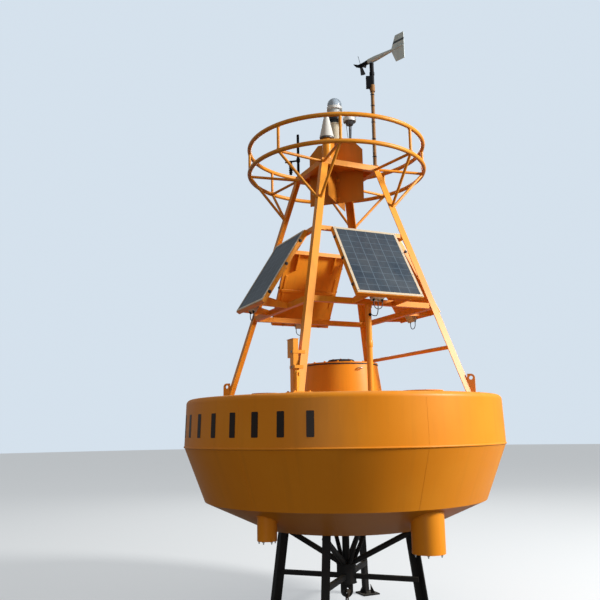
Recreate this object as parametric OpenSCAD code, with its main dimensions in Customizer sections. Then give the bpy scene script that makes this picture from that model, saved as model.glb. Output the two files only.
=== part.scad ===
/* [Hull] */
// Radius of the hull at its widest line
hull_r = 1500; // [1300:10:1700]
// Radius of the hull just under the rounded deck edge
deck_edge_r = 1486; // [1280:2:1690]
// Height of the deck above the ground
deck_z = 1930; // [1850:5:2050]
// Rounding of the deck edge
shoulder_r = 46; // [20:1:80]
// Height of the widest line
knuckle_z = 1500; // [1400:5:1600]
// Radius at the lower chine
chine_r = 1308; // [1200:2:1400]
// Height of the lower chine
chine_z = 1010; // [950:5:1100]
// Radius of the flat bottom
keel_r = 780; // [740:5:900]
// Height of the flat bottom
keel_z = 770; // [700:5:850]
// Half width of the rubbing bead on the widest line
bead_r = 9; // [5:1:14]

/* [Hatch] */
// Outer radius of the coaming at the deck
coaming_base_r = 395; // [360:5:420]
// Outer radius of the coaming at its top
coaming_top_r = 350; // [330:5:355]
// Height of the coaming above the deck
coaming_h = 318; // [250:2:360]
// Wall of the coaming at its top
coaming_wall = 12; // [8:1:20]
// Radius of the equipment well in the hull, below the hatch
well_r = 300; // [250:5:320]
// Depth of the equipment well below the deck
well_depth = 560; // [300:10:700]
// Thickness of the hatch lid
lid_t = 12; // [8:1:16]
// Overhang of the lid past the coaming's top
lid_lip = 4; // [2:1:8]
// Gap between lid and coaming
lid_gap = 0.3; // [0.2:0.1:1]
// Height of the hatch hinge pin above the lid's underside
hinge_pin_z = 22; // [18:1:30]
// Radius of the hatch hinge pin
hinge_pin_r = 8; // [6:0.5:12]
// Thickness of the hinges' plates
hinge_leaf_w = 16; // [10:1:20]
// How far the hinges' plates reach down the coaming
hinge_root = 150; // [100:5:200]
// Length of the hinges' straps on the lid
lid_leaf = 150; // [100:5:200]
// Distance between the two hatch hinges
hinge_pitch = 240; // [160:10:320]
// Running clearance round the hinge pins
pin_gap = 0.05; // [0.02:0.01:0.1]
// Radius of the vent cap on the lid
vent_r = 145; // [110:5:160]
// Height of the vent cap
vent_h = 44; // [30:1:60]

/* [Instrument wells] */
// Outer radius of the large tube
tube_a_r = 136; // [100:1:160]
// Height of the large tube's lower end
tube_a_z = 650; // [600:5:720]
// Distance of the large tube's axis inside the widest line
tube_a_inset = 380; // [350:5:450]
// Bearing of the large tube
tube_a_az = 278.4; // [270:0.2:290]
// Outer radius of the small tube
tube_b_r = 82; // [60:1:100]
// Height of the small tube's lower end
tube_b_z = 755; // [700:5:800]
// Distance of the small tube's axis inside the widest line
tube_b_inset = 396; // [340:2:450]
// Bearing of the small tube
tube_b_az = 206.4; // [196:0.2:212]
// Wall of both tubes
tube_wall = 10; // [6:1:16]
// Overhang of the cover flange past the tube
flange_lip = 42; // [36:1:50]
// Thickness of the cover flange
flange_t = 10; // [6:1:14]
// Radius of the flange bolts' holes
flange_hole_r = 7; // [5:0.5:9]

/* [Tower] */
// Distance of each leg from the axis at the deck
leg_base_rho = 1200; // [1180:5:1230]
// Distance of each leg from the axis at the platform
leg_top_rho = 412; // [380:4:440]
// Flange width of the angle legs
leg_w = 66; // [60:1:76]
// Thickness of the angle legs
leg_t = 8; // [6:1:11]
// Side of the square plate under each leg
shoe_w = 170; // [140:5:200]
// Thickness of the plate under each leg
shoe_t = 14; // [10:1:20]
// Side of the lower square beams between the legs, and of the platform's
beam_w = 50; // [44:1:56]
// Side of the upper square beams between the legs
beam_top_w = 40; // [34:1:44]
// Height of the upper beams' centre line
beam_top_z = 3473; // [3460:1:3486]
// Height of the lower beams' centre line
beam_low_z = 2770; // [2700:5:2800]
// Height of the low tie bar's centre line
tie_z = 2375; // [2300:5:2450]
// Radius of the low tie bar
tie_r = 19; // [14:1:24]
// Thickness of the lifting lugs
lug_t = 20; // [14:1:26]
// Height of the lifting lugs
lug_h = 178; // [160:2:200]
// Reach of the lifting lugs outside the legs' centre lines at the deck
lug_reach = 68; // [64:1:90]
// Radius of the hole in the lifting lugs
lug_hole_r = 17.5; // [12:0.5:22]
// Rounding of the lifting lugs' outer corner
lug_round = 36; // [24:1:44]

/* [Platform and reflector] */
// Side of the square platform
platform_w = 640; // [600:10:700]
// Height of the platform's top face
platform_z = 4230; // [4180:5:4280]
// Thickness of the platform's plate
platform_t = 6; // [4:1:10]
// Half width of the reflector's crossing plates
reflector_w = 284; // [240:2:300]
// Height of the reflector above the platform
reflector_up = 318; // [260:2:360]
// Depth of the reflector below the platform's plate
reflector_down = 326; // [260:5:360]
// Thickness of the reflector's plates
reflector_t = 6; // [4:1:10]
// Width of the reflector's cut top corners
reflector_cut_w = 96; // [60:2:130]
// Height of the reflector's cut top corners
reflector_cut_h = 108; // [60:2:160]

// Radius of the lantern's seat on the reflector
lantern_seat_r = 84; // [80:1:95]
// Radius of the aerial's seat on the reflector
aerial_seat_r = 53; // [40:1:60]
// Thickness of both seats
seat_t = 6; // [4:1:10]

/* [Guard rail] */
// Radius of both rings at the tube's centre line
ring_r = 886; // [840:2:920]
// Radius of the rings' tube
ring_tube_r = 21; // [16:1:26]
// Height of the lower ring
ring_low_z = 4200; // [4190:2:4210]
// Height of the upper ring
ring_top_z = 4458; // [4400:2:4520]
// Angle from each corner to its two posts
post_spread = 20; // [17:0.5:24]
// Radius of the posts, spokes and struts
post_r = 14; // [10:1:18]
// Height at which the struts meet the legs
strut_foot_z = 3765; // [3720:5:3820]

/* [Solar panels] */
// Width of each tray
tray_w = 680; // [640:5:700]
// Length of each tray along its slope
tray_h = 824; // [780:2:850]
// Depth of each tray
tray_d = 38; // [34:1:46]
// Thickness of the tray's plate and sides
tray_t = 5; // [4:1:8]
// Lean of the panels from upright
panel_lean = 31.8; // [28:0.2:36]
// Height of the middle of each panel's face
panel_z = 3130; // [3100:2:3160]
// Distance of the middle of each panel's face from the axis
panel_rho = 744; // [740:1:756]
// Gap between panel frame and tray side
panel_gap = 0.5; // [0.3:0.1:2]
// How far the panel frame stands out of its tray
panel_proud = 6; // [2:1:12]
// Width of the aluminium frame's face
frame_lip = 24; // [16:1:30]
// Depth of the glass below the frame's face
glass_inset = 2.5; // [1:0.5:5]
// Thickness of the glass laminate
glass_t = 5; // [3:0.5:8]
// Thickness of the bracket plates
bracket_t = 10; // [6:1:14]
// Drop of the hangers below the upper beams
hanger_drop = 150; // [120:5:200]
// Width of the hangers at their lower end
hanger_w = 40; // [30:1:60]
// Half distance between each panel's two brackets
bracket_x = 215; // [180:5:260]

/* [Conduits] */
// Radius of the conduit pipe
conduit_r = 27; // [20:1:32]
// Place of the conduit pipe along the front beam
conduit_x = -50; // [-120:5:60]
// Radius of the collar at the conduit's foot
collar_r = 52; // [44:1:70]
// Height of the collar at the conduit's foot
collar_h = 34; // [20:1:50]
// Thickness of the riser duct
duct_x = 46; // [36:1:60]
// Depth of the riser duct
duct_y = 66; // [50:2:80]
// Height of the riser duct above the deck
duct_h = 455; // [420:5:500]
// Depth of the riser duct's head
duct_head_y = 118; // [100:2:130]
// Height of the riser duct's head
duct_head_h = 150; // [110:5:180]
// Thickness of the straps round duct and leg
strap_t = 5; // [4:1:8]
// Height of the straps
strap_h = 26; // [18:1:34]
// Gap between duct and leg at the duct's top
duct_off = 56; // [44:1:66]
// How far the duct's front lies out from the leg at the duct's top
duct_front = 30; // [20:1:40]

/* [Lamps and aerials] */
// Radius of the central lantern
lantern_r = 75; // [66:1:80]
// Overhang of the lantern's foot and of the ring under its dome
lantern_lip = 6; // [3:1:8]
// Height of the lantern's rims
lantern_rim_h = 14; // [8:1:16]
// Height of the lantern's white base
lantern_base_h = 195; // [170:1:220]
// Height of the lantern's dark lens band
lantern_lens_h = 78; // [60:2:90]
// Height of the lantern's collar above the lens
lantern_collar_h = 111; // [100:1:130]
// Height of the lantern's dome
lantern_dome_h = 102; // [90:2:120]
// Radius of the beacon's cone at its foot
beacon_r = 72; // [60:1:78]
// Radius of the beacon's cone at its top
beacon_top_r = 24; // [18:1:32]
// Height of the beacon's cone
beacon_h = 224; // [190:2:250]
// Height of the rim under the beacon's cone
beacon_rim_h = 14; // [8:1:20]
// Height of the beacon's pedestal
pedestal_h = 219; // [180:1:240]
// Radius of the beacon's pedestal
pedestal_r = 45; // [38:1:52]
// Place of the beacon in from the front edge of the platform
beacon_in = 58; // [50:2:90]
// Place of the beacon left of the platform's middle
beacon_left = 235; // [200:5:260]
// Thickness of the discs under beacon, posts and mast
foot_disc_t = 8; // [6:1:12]
// Radius of the mushroom aerial's cap
aerial_r = 68; // [60:1:76]
// Height of the mushroom aerial's cap
aerial_cap_h = 88; // [80:1:100]
// Height of the taper under the mushroom aerial's cap
aerial_neck_h = 35; // [24:1:44]
// Height of the mushroom aerial's stem
aerial_stem_h = 165; // [140:1:190]
// Radius of the mushroom aerial's stem
aerial_stem_r = 9; // [6:1:16]
// Distance of the mushroom aerial from the axis
aerial_rho = 158; // [150:2:170]
// Height of the thin post
whip_h = 471; // [440:1:500]
// Radius of the thin post
whip_r = 14; // [8:1:18]
// Radius of the probe beside the thin post
probe_r = 15; // [10:1:20]
// Length of the probe
probe_h = 150; // [120:5:180]
// Length of the arm on the thin post
whip_arm = 146; // [120:2:160]
// Distance from the thin post to the probe
probe_arm = 84; // [70:2:100]

/* [Wind sensor] */
// Radius of the wind mast
mast_r = 17; // [14:1:22]
// Height of the wind mast's top above the platform
mast_h = 883; // [840:1:920]
// Height of the sensor's axis above the mast
sensor_rise = 277; // [270:1:300]
// Bearing that the sensor's nose points to
sensor_az = 109; // [0:1:359]
// Radius of the propeller
prop_r = 100; // [80:1:110]
// Distance from the mast to the propeller
prop_x = 147; // [140:1:160]
// Distance from the mast to the tail's end
tail_x = 424; // [400:2:440]
// Height of the tail fin
fin_h = 283; // [250:1:300]
// Length of the fin's straight edges
fin_l = 107; // [90:1:130]
// Reach of the fin's pointed leading edge
fin_point = 58; // [40:1:70]
// Radius of the body at its thickest
body_r = 28; // [24:1:34]
// Radius of the body at the fin
boom_r = 12; // [9:1:16]
// Length of the black nose behind the propeller
nose_l = 93; // [80:1:100]
// Radius of the sensor's upright post
post_outer_r = 22; // [18:1:24]
// Radius of the clamp at the mast's top
clamp_r = 26; // [24:1:30]
// Height of the clamp at the mast's top
clamp_h = 73; // [60:1:80]
// How far the terminal box reaches down past the mast's top
box_drop = 29; // [15:1:40]
// Height of the terminal box
box_h = 125; // [100:1:130]
// Width of the terminal box
box_w = 44; // [36:1:60]
// Reach of the terminal box out from the post
box_reach = 41; // [30:1:50]
// Bearing that the terminal box points to
box_az = 152; // [0:1:359]
// Chord of the blades at the tip
blade_tip = 55; // [40:1:60]
// Chord of the blades at the root
blade_root = 22; // [16:1:30]
// Thickness of the blades
blade_t = 3.5; // [2:0.5:6]
// Angle of the blades to the propeller's disc
blade_pitch = 34; // [20:1:45]
// Radius of the propeller's hub
hub_r = 20; // [14:1:24]
// Length of the propeller's hub
hub_l = 34; // [24:1:44]
// Gap between the terminal box and the mast's clamp
clamp_gap = 0.3; // [0.2:0.1:1]
// Running gap between turning pieces
run_gap = 0.5; // [0.3:0.1:1]

/* [Under-frame] */
// Distance of each leg from the axis at the hull
stand_top_rho = 610; // [560:5:680]
// Distance of each leg from the axis at the ground
stand_foot_rho = 715; // [690:5:760]
// Flange width of the angle legs
angle_w = 78; // [66:1:96]
// Thickness of the angle legs
angle_t = 9; // [7:1:14]
// Side of the square foot plates
foot_w = 180; // [150:5:220]
// Thickness of the foot plates
foot_t = 14; // [10:1:20]
// Radius of the holes in the foot plates
foot_hole_r = 9; // [6:1:12]
// Distance of those holes from the plates' edges
foot_edge = 26; // [20:1:40]
// Height of the radial struts
radial_z = 310; // [280:5:340]
// Side of the square radial struts
radial_w = 42; // [34:1:56]
// Radius of the central column
column_r = 34; // [28:1:50]
// Height of the central column's lower end
column_z = 250; // [230:5:260]
// Radius of the hub that gathers the struts
hub_block_r = 90; // [88:1:104]
// Height of the hub that gathers the struts
hub_block_h = 170; // [150:5:200]
// Radius of the diagonals
diagonal_r = 26; // [18:1:28]
// Radius of the fan's rods under the hull
fan_rod_r = 20; // [14:1:22]
// Distance of the fan's rods from the axis at the hull
fan_rho = 260; // [220:5:300]
// Half width of the mooring eye
eye_r = 57; // [48:1:66]
// Thickness of the mooring eye
eye_t = 30; // [22:1:40]
// Radius of the hole in the mooring eye
eye_hole_r = 27; // [20:1:34]
// Drop of the mooring eye's hole below the column
eye_drop = 74; // [60:2:90]

/* [Hidden] */
$fn = 96;

far = 4000;
// Hair gap under flanges that lie loose on the deck
seat_gap = 0.01;
// Bearings of the four corners, a to d, and of the four sides, front first
CORNERS = [225, 315, 45, 135];
SIDES = [0, 90, 180, 270];

// Tower, worked out from the driving sizes
beam_foot_z = platform_z - platform_t - beam_w;
leg_lean = atan((leg_base_rho - leg_top_rho) / (beam_foot_z - deck_z));
function leg_rho(z) = leg_base_rho - (z - deck_z) * tan(leg_lean);
function side_y(z) = leg_rho(z) / sqrt(2);
// Front face of the beams, flush with the inside of the legs' flanges
function beam_face(z) = side_y(z) + leg_w / 2 - leg_t;
function polar(rho, az, z) = [rho * cos(az), rho * sin(az), z];

// Instrument wells
tube_a_rho = hull_r - tube_a_inset;
tube_b_rho = hull_r - tube_b_inset;

// Hatch
lid_z = deck_z + coaming_h + lid_gap;
lid_r = coaming_top_r + lid_lip;
hinge_y = lid_r + 34;
hinge_z = lid_z + hinge_pin_z;
hinge_eye_r = hinge_pin_r + 10;

// Panels
function tray_back_y(z) =
    -(panel_rho - (z - panel_z) * tan(panel_lean)) + tray_d / cos(panel_lean);

// Wind sensor
mast_xy = leg_top_rho / sqrt(2);
mast_top = platform_z + mast_h;
sensor_z = mast_top + sensor_rise;
// The socket ends a little below the sensor's axis
socket_h = sensor_rise - 34;
socket_ring_z = [112, 141];
nose_x = prop_x - hub_l / 2 - nose_l;
blade_turn = -22;

// Under-frame
stand_lean = atan((stand_foot_rho - stand_top_rho) / keel_z);
function stand_rho(z) = stand_foot_rho - z * tan(stand_lean);

module slab(z0, z1) {
    translate([-far, -far, z0]) cube([2 * far, 2 * far, z1 - z0]);
}

module bar(p, q, r) {
    d = q - p;
    translate(p) rotate([0, acos(d.z / norm(d)), atan2(d.y, d.x)]) cylinder(h = norm(d), r = r, $fn = 48);
}

module at_corner(k) {
    rotate(CORNERS[k]) children();
}

module at_side(k) {
    rotate(SIDES[k]) children();
}

// Hull: one revolved section, with the equipment well left open under the hatch
module hull() {
    color("orange") rotate_extrude($fn = 180) difference() {
        union() {
            polygon([[0, keel_z], [keel_r, keel_z], [chine_r, chine_z], [hull_r, knuckle_z],
                [deck_edge_r, deck_z - shoulder_r], [deck_edge_r - shoulder_r, deck_z], [0, deck_z]]);
            translate([deck_edge_r - shoulder_r, deck_z - shoulder_r]) circle(shoulder_r);
            translate([hull_r - bead_r / 3, knuckle_z]) circle(bead_r);
        }
        translate([0, deck_z - well_depth]) square([well_r, far]);
        translate([-far, 0]) square([far, 2 * far]);
    }
}

// Cover flanges lie on the deck; the two tubes end flush with the shell
module tube_place(rho, az) {
    rotate(az) translate([rho, 0, 0]) children();
}

module shell_cut() {
    rotate_extrude($fn = 180)
        polygon([[0, keel_z], [keel_r, keel_z], [chine_r, chine_z], [hull_r, knuckle_z], [hull_r, deck_z],
            [0, deck_z]]);
}

module well_tube(r, z, rho, az) {
    difference() {
        tube_place(rho, az) translate([0, 0, z]) difference() {
            cylinder(h = knuckle_z - z, r = r);
            translate([0, 0, -1]) cylinder(h = knuckle_z, r = r - tube_wall);
        }
        shell_cut();
    }
}

module well_tubes() {
    color("orange") {
        well_tube(tube_a_r, tube_a_z, tube_a_rho, tube_a_az);
        well_tube(tube_b_r, tube_b_z, tube_b_rho, tube_b_az);
    }
}

module well_cover(r, bolts) {
    translate([0, 0, deck_z + seat_gap]) difference() {
        union() {
            cylinder(h = flange_t, r = r + flange_lip);
            translate([0, 0, flange_t]) cylinder(h = flange_t, r = r + flange_lip);
        }
        for (i = [0 : bolts - 1]) rotate(i * 360 / bolts) translate([r + flange_lip / 2, 0, -1])
            cylinder(h = 2 * flange_t + 2, r = flange_hole_r, $fn = 32);
    }
}

module well_covers() {
    color("orange") {
        tube_place(tube_a_rho, tube_a_az) well_cover(tube_a_r, 12);
        tube_place(tube_b_rho, tube_b_az) well_cover(tube_b_r, 8);
    }
}

// Hatch
module hatch_coaming() {
    color("orange") translate([0, 0, deck_z]) difference() {
        cylinder(h = coaming_h, r1 = coaming_base_r, r2 = coaming_top_r);
        translate([0, 0, -1]) cylinder(h = coaming_h + 2, r = coaming_top_r - coaming_wall);
    }
}

// Hinges: two plates each, welded to the coaming, with the pin between them
module hatch_hinge() {
    foot_r = coaming_top_r + (coaming_base_r - coaming_top_r) * hinge_root / coaming_h;
    color("darkorange") for (x = [-1, 1] * hinge_pitch / 2) difference() {
        union() {
            for (e = [-1, 1]) translate([x + e * (hinge_leaf_w + 1) - hinge_leaf_w / 2, hinge_y, 0])
                rotate([90, 0, 90]) linear_extrude(hinge_leaf_w) {
                    translate([0, hinge_z]) circle(hinge_eye_r, $fn = 48);
                    polygon([[hinge_eye_r, hinge_z], [2 - hinge_eye_r, hinge_z],
                        [2 - hinge_eye_r, lid_z - lid_t], [coaming_top_r / 2 - hinge_y, lid_z - lid_t],
                        [coaming_top_r / 2 - hinge_y, lid_z - hinge_root],
                        [foot_r - hinge_y + hinge_leaf_w, lid_z - hinge_root]]);
                }
            translate([x - 2 * hinge_leaf_w, hinge_y, hinge_z]) rotate([0, 90, 0])
                cylinder(h = 4 * hinge_leaf_w, r = hinge_pin_r, $fn = 48);
        }
        translate([0, 0, deck_z]) cylinder(h = coaming_h, r1 = coaming_base_r, r2 = coaming_top_r);
    }
}

module hatch_lid() {
    leaf_w = hinge_leaf_w - 2;
    color("orange") {
        translate([0, 0, lid_z]) cylinder(h = lid_t, r = lid_r);
        for (x = [-1, 1] * hinge_pitch / 2) translate([x - leaf_w / 2, hinge_y, 0]) rotate([90, 0, 90])
            linear_extrude(leaf_w) difference() {
                union() {
                    translate([0, hinge_z]) circle(hinge_eye_r, $fn = 48);
                    polygon([[0, hinge_z + hinge_eye_r], [0, hinge_z - hinge_eye_r + 4],
                        [-hinge_eye_r - 8, lid_z + 1], [-lid_leaf, lid_z + 1],
                        [-lid_leaf, lid_z + lid_t + 6]]);
                }
                translate([0, hinge_z]) circle(hinge_pin_r + pin_gap, $fn = 48);
            }
    }
}

module lid_vent() {
    color("black") translate([0, 0, lid_z + lid_t]) {
        cylinder(h = vent_h * 0.45, r = vent_r * 0.7);
        translate([0, 0, vent_h * 0.45]) cylinder(h = vent_h * 0.55, r1 = vent_r, r2 = vent_r * 0.82);
    }
}

// Section of an angle bar, centred on its square, with the corner at the upper right
module angle_section(w, t) {
    translate([w / 2, w / 2]) rotate(180)
        polygon([[0, 0], [w, 0], [w, t], [t, t], [t, w], [0, w]]);
}

// Tower: leaning angle bars with the corner outward
module leg_line(k) {
    at_corner(k) translate([leg_base_rho, 0, deck_z]) rotate([0, -leg_lean, 0]) translate([0, 0, -shoe_w])
        linear_extrude((beam_foot_z - deck_z) / cos(leg_lean) + 2 * shoe_w) rotate(-45) children();
}

module leg_bar(k) {
    leg_line(k) angle_section(leg_w, leg_t);
}

// The square that the angle bar fills, which other pieces stop at
module leg_core(k) {
    leg_line(k) square(leg_w, center = true);
}

module tower_legs() {
    color("orange") for (k = [0 : 3]) intersection() {
        leg_bar(k);
        slab(deck_z + shoe_t, beam_foot_z);
    }
}

module shoe(k) {
    at_corner(k) translate([leg_base_rho, 0, deck_z]) linear_extrude(shoe_t) rotate(45)
        square(shoe_w, center = true);
}

module leg_shoes() {
    color("orange") for (k = [0 : 3]) shoe(k);
}

// Lifting lug: a radial plate outside each leg, standing on its shoe
module lifting_lug(k) {
    in_x = lug_reach - lug_round;
    in_z = lug_h - lug_round;
    difference() {
        at_corner(k) translate([leg_base_rho, lug_t / 2, deck_z + shoe_t]) rotate([90, 0, 0])
            linear_extrude(lug_t) difference() {
                union() {
                    square([in_x, lug_h]);
                    square([lug_reach, in_z]);
                    translate([in_x, in_z]) circle(lug_round, $fn = 48);
                }
                translate([in_x, in_z]) circle(lug_hole_r, $fn = 48);
            }
        leg_core(k);
    }
}

module lifting_lugs() {
    color("darkorange") for (k = [0 : 3]) lifting_lug(k);
}

module beam(z, w) {
    difference() {
        translate([-beam_face(z), -beam_face(z), z - w / 2]) cube([2 * beam_face(z), w, w]);
        leg_bar(0);
        leg_bar(1);
    }
}

module beams_upper() {
    color("orange") for (k = [0 : 3]) at_side(k) beam(beam_top_z, beam_top_w);
}

module beams_lower() {
    color("orange") for (k = [0 : 3]) at_side(k) beam(beam_low_z, beam_w);
}

module tie_bar() {
    end_y = beam_face(tie_z) + leg_t / 2;
    color("orange") difference() {
        bar([side_y(tie_z), -end_y, tie_z], [side_y(tie_z), end_y, tie_z], tie_r);
        leg_bar(1);
        leg_bar(2);
    }
}

// Platform: a plate on a square of beams
module platform() {
    inner = platform_w - 2 * beam_w;
    color("orange") {
        translate([0, 0, platform_z - platform_t]) linear_extrude(platform_t)
            square(platform_w, center = true);
        translate([0, 0, beam_foot_z]) linear_extrude(beam_w) difference() {
            square(platform_w, center = true);
            square(inner, center = true);
        }
    }
}

module reflector_plate() {
    translate([0, reflector_t / 2, 0]) rotate([90, 0, 0]) linear_extrude(reflector_t) children();
}

module radar_reflector() {
    cut_x = reflector_w - reflector_cut_w;
    cut_z = reflector_up - reflector_cut_h;
    color("orange") {
        translate([0, 0, platform_z]) for (a = [45, 135]) rotate(a) reflector_plate()
            polygon([[-reflector_w, 0], [reflector_w, 0], [reflector_w, cut_z], [cut_x, reflector_up],
                [-cut_x, reflector_up], [-reflector_w, cut_z]]);
        translate([0, 0, platform_z - platform_t - reflector_down]) for (a = [45, 135]) rotate(a)
            reflector_plate() translate([-reflector_w, 0]) square([2 * reflector_w, reflector_down]);
        translate([0, 0, platform_z + reflector_up]) cylinder(h = seat_t, r = lantern_seat_r);
        rotate(CORNERS[1]) translate([aerial_rho, 0, platform_z + reflector_up])
            cylinder(h = seat_t, r = aerial_seat_r);
    }
}

// Guard rail
module ring_tube(z) {
    translate([0, 0, z]) rotate_extrude($fn = 180) translate([ring_r, 0]) circle(ring_tube_r, $fn = 48);
}

module rail_ring_upper() {
    color("orange") ring_tube(ring_top_z);
}

module rail_ring_lower() {
    color("orange") ring_tube(ring_low_z);
}

function node_az(k, s) = CORNERS[k] + s * post_spread;

module spoke_bar(k, s) {
    bar(polar(leg_top_rho, CORNERS[k], ring_low_z), polar(ring_r, node_az(k, s), ring_low_z), post_r);
}

module rail_posts() {
    color("orange") for (k = [0 : 3], s = [-1, 1]) difference() {
        bar(polar(ring_r, node_az(k, s), ring_low_z), polar(ring_r, node_az(k, s), ring_top_z), post_r);
        ring_tube(ring_low_z);
        ring_tube(ring_top_z);
    }
}

module rail_spokes() {
    color("orange") for (k = [0 : 3], s = [-1, 1]) difference() {
        spoke_bar(k, s);
        ring_tube(ring_low_z);
        translate([0, 0, beam_foot_z]) linear_extrude(beam_w) square(platform_w, center = true);
    }
}

module rail_struts() {
    color("orange") for (k = [0 : 3], s = [-1, 1]) difference() {
        bar(polar(leg_rho(strut_foot_z), CORNERS[k], strut_foot_z), polar(ring_r, node_az(k, s), ring_low_z),
            post_r);
        ring_tube(ring_low_z);
        spoke_bar(k, s);
        leg_core(k);
    }
}

// Solar panels: each drawn upright, facing the front, then leaned back and turned to its side
module panel_place(k) {
    at_side(k) translate([0, -panel_rho, panel_z]) rotate([-panel_lean, 0, 0]) children();
}

module panel_box(w, h, y0, y1) {
    translate([-w / 2, y0, -h / 2]) cube([w, y1 - y0, h]);
}

module tray() {
    difference() {
        panel_box(tray_w, tray_h, 0, tray_d);
        panel_box(tray_w - 2 * tray_t, tray_h - 2 * tray_t, -1, tray_d - tray_t);
    }
}

module solar_frame() {
    w = tray_w - 2 * tray_t - 2 * panel_gap;
    h = tray_h - 2 * tray_t - 2 * panel_gap;
    difference() {
        panel_box(w, h, -panel_proud, tray_d - tray_t);
        panel_box(w - 2 * frame_lip, h - 2 * frame_lip, -panel_proud - 1,
            glass_inset + glass_t - panel_proud);
    }
}

module glass_sheet() {
    w = tray_w - 2 * tray_t - 2 * panel_gap - 2 * frame_lip;
    h = tray_h - 2 * tray_t - 2 * panel_gap - 2 * frame_lip;
    panel_box(w, h, glass_inset - panel_proud, glass_inset + glass_t - panel_proud);
}

module panel_trays() {
    color("darkorange") for (k = [0 : 3]) panel_place(k) tray();
}

module solar_panels() {
    color("silver") for (k = [0 : 3]) panel_place(k) solar_frame();
}

module solar_glass() {
    color("midnightblue") for (k = [0 : 3]) panel_place(k) glass_sheet();
}

// Bracket plates: an arm from the lower beam and a short hanger from the upper beam to each tray
module bracket_pair(x) {
    arm_y = -beam_face(beam_low_z);
    arm_z = beam_low_z - beam_w / 2;
    tip_z = [arm_z + beam_w / 4, arm_z + 2 * beam_w];
    top_y = -beam_face(beam_top_z);
    hang_z = beam_top_z - beam_top_w / 2;
    low_z = hang_z - hanger_drop;
    back_y = tray_back_y(low_z);
    translate([x - bracket_t / 2, 0, 0]) rotate([90, 0, 90]) linear_extrude(bracket_t) {
        polygon([[arm_y, arm_z], [arm_y, arm_z + beam_w],
            [tray_back_y(tip_z[1]), tip_z[1]], [tray_back_y(tip_z[0]), tip_z[0]]]);
        polygon([[top_y, hang_z], [top_y + beam_top_w, hang_z], [back_y + hanger_w, low_z],
            [back_y, low_z], [tray_back_y(hang_z - 2), hang_z - 2]]);
    }
}

module panel_brackets() {
    color("darkorange") for (k = [0 : 3]) at_side(k) for (s = [-1, 1]) bracket_pair(s * bracket_x);
}

// Conduit pipe, from a collar on the deck to the underside of the front lower beam
module conduit_pipe() {
    top_z = beam_low_z - beam_w / 2;
    color("orange") translate([conduit_x, beam_w / 2 - beam_face(beam_low_z), deck_z]) {
        cylinder(h = top_z - deck_z, r = conduit_r);
        cylinder(h = collar_h, r = collar_r);
    }
}

// Riser duct behind leg a's outer corner, coped round the leg, with two straps that reach to its front
module duct_strap(left_x, back_y, z) {
    leg_x = side_y(z);
    front_y = -leg_x - leg_w / 2 - strap_t;
    translate([left_x - strap_t, front_y, z]) {
        cube([strap_t, back_y - front_y, strap_h]);
        cube([strap_t - left_x - leg_x, 2 * strap_t, strap_h]);
    }
}

module riser_duct() {
    side = side_y(deck_z + duct_h) + leg_w / 2;
    left_x = -side - duct_off - duct_x;
    front_y = -side - duct_front;
    color("darkorange") difference() {
        union() {
            translate([left_x, front_y, deck_z]) cube([duct_x, duct_y, duct_h]);
            translate([left_x, front_y, deck_z + duct_h - duct_head_h])
                cube([duct_x, duct_head_y, duct_head_h]);
            for (h = [0.46, 0.74] * duct_h) duct_strap(left_x, front_y + duct_y, deck_z + h);
        }
        leg_core(0);
        shoe(0);
    }
}

// Lamps and aerials, each one revolved section
module lantern() {
    band_z = lantern_base_h;
    collar_z = band_z + lantern_lens_h;
    dome_z = collar_z + lantern_collar_h;
    color("white") translate([0, 0, platform_z + reflector_up + seat_t]) rotate_extrude() union() {
        square([lantern_r + lantern_lip, lantern_rim_h]);
        square([lantern_r - lantern_lip / 2, band_z]);
        translate([0, band_z - lantern_rim_h]) square([lantern_r, lantern_rim_h]);
        translate([0, band_z]) square([lantern_r - 2 * lantern_lip, lantern_lens_h]);
        translate([0, collar_z]) square([lantern_r, 3 * lantern_rim_h]);
        translate([0, collar_z]) square([lantern_r - 3 * lantern_lip, lantern_collar_h]);
        translate([0, dome_z - 2 * lantern_rim_h]) square([lantern_r + lantern_lip, 2 * lantern_rim_h]);
        intersection() {
            translate([0, dome_z + lantern_dome_h - lantern_r]) circle(lantern_r);
            translate([0, dome_z]) square([far, far]);
        }
    }
}

module beacon_place() {
    translate([-beacon_left, -platform_w / 2 + beacon_in, platform_z]) children();
}

module beacon_foot() {
    color("orange") beacon_place() {
        cylinder(h = pedestal_h, r = pedestal_r);
        cylinder(h = foot_disc_t, r = beacon_in - 2);
    }
}

module beacon() {
    color("white") beacon_place() translate([0, 0, pedestal_h]) {
        cylinder(h = beacon_rim_h, r = beacon_r - 6);
        translate([0, 0, beacon_rim_h]) cylinder(h = beacon_h, r1 = beacon_r, r2 = beacon_top_r);
    }
}

module aerial() {
    cap_z = aerial_stem_h + aerial_neck_h;
    color("white") rotate(CORNERS[1]) translate([aerial_rho, 0, platform_z + reflector_up + seat_t])
        rotate_extrude() union() {
            square([aerial_stem_r * 2.4, foot_disc_t]);
            square([aerial_stem_r, cap_z]);
            polygon([[0, aerial_stem_h], [aerial_r / 2, aerial_stem_h], [aerial_r * 0.74, cap_z],
                [0, cap_z]]);
            translate([0, cap_z]) intersection() {
                translate([0, aerial_cap_h - aerial_r]) circle(aerial_r);
                square([far, far]);
            }
        }
}

module thin_post() {
    probe_z = whip_h * 0.42;
    color("dimgray") rotate(CORNERS[3]) translate([leg_top_rho, 0, platform_z]) {
        cylinder(h = whip_h, r = whip_r, $fn = 48);
        cylinder(h = foot_disc_t, r = 2 * whip_r, $fn = 48);
        translate([0, -whip_r / 2, probe_z - whip_r]) cube([whip_arm, whip_r, whip_r]);
        translate([probe_arm, 0, probe_z - probe_h]) cylinder(h = probe_h, r = probe_r, $fn = 48);
    }
}

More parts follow.
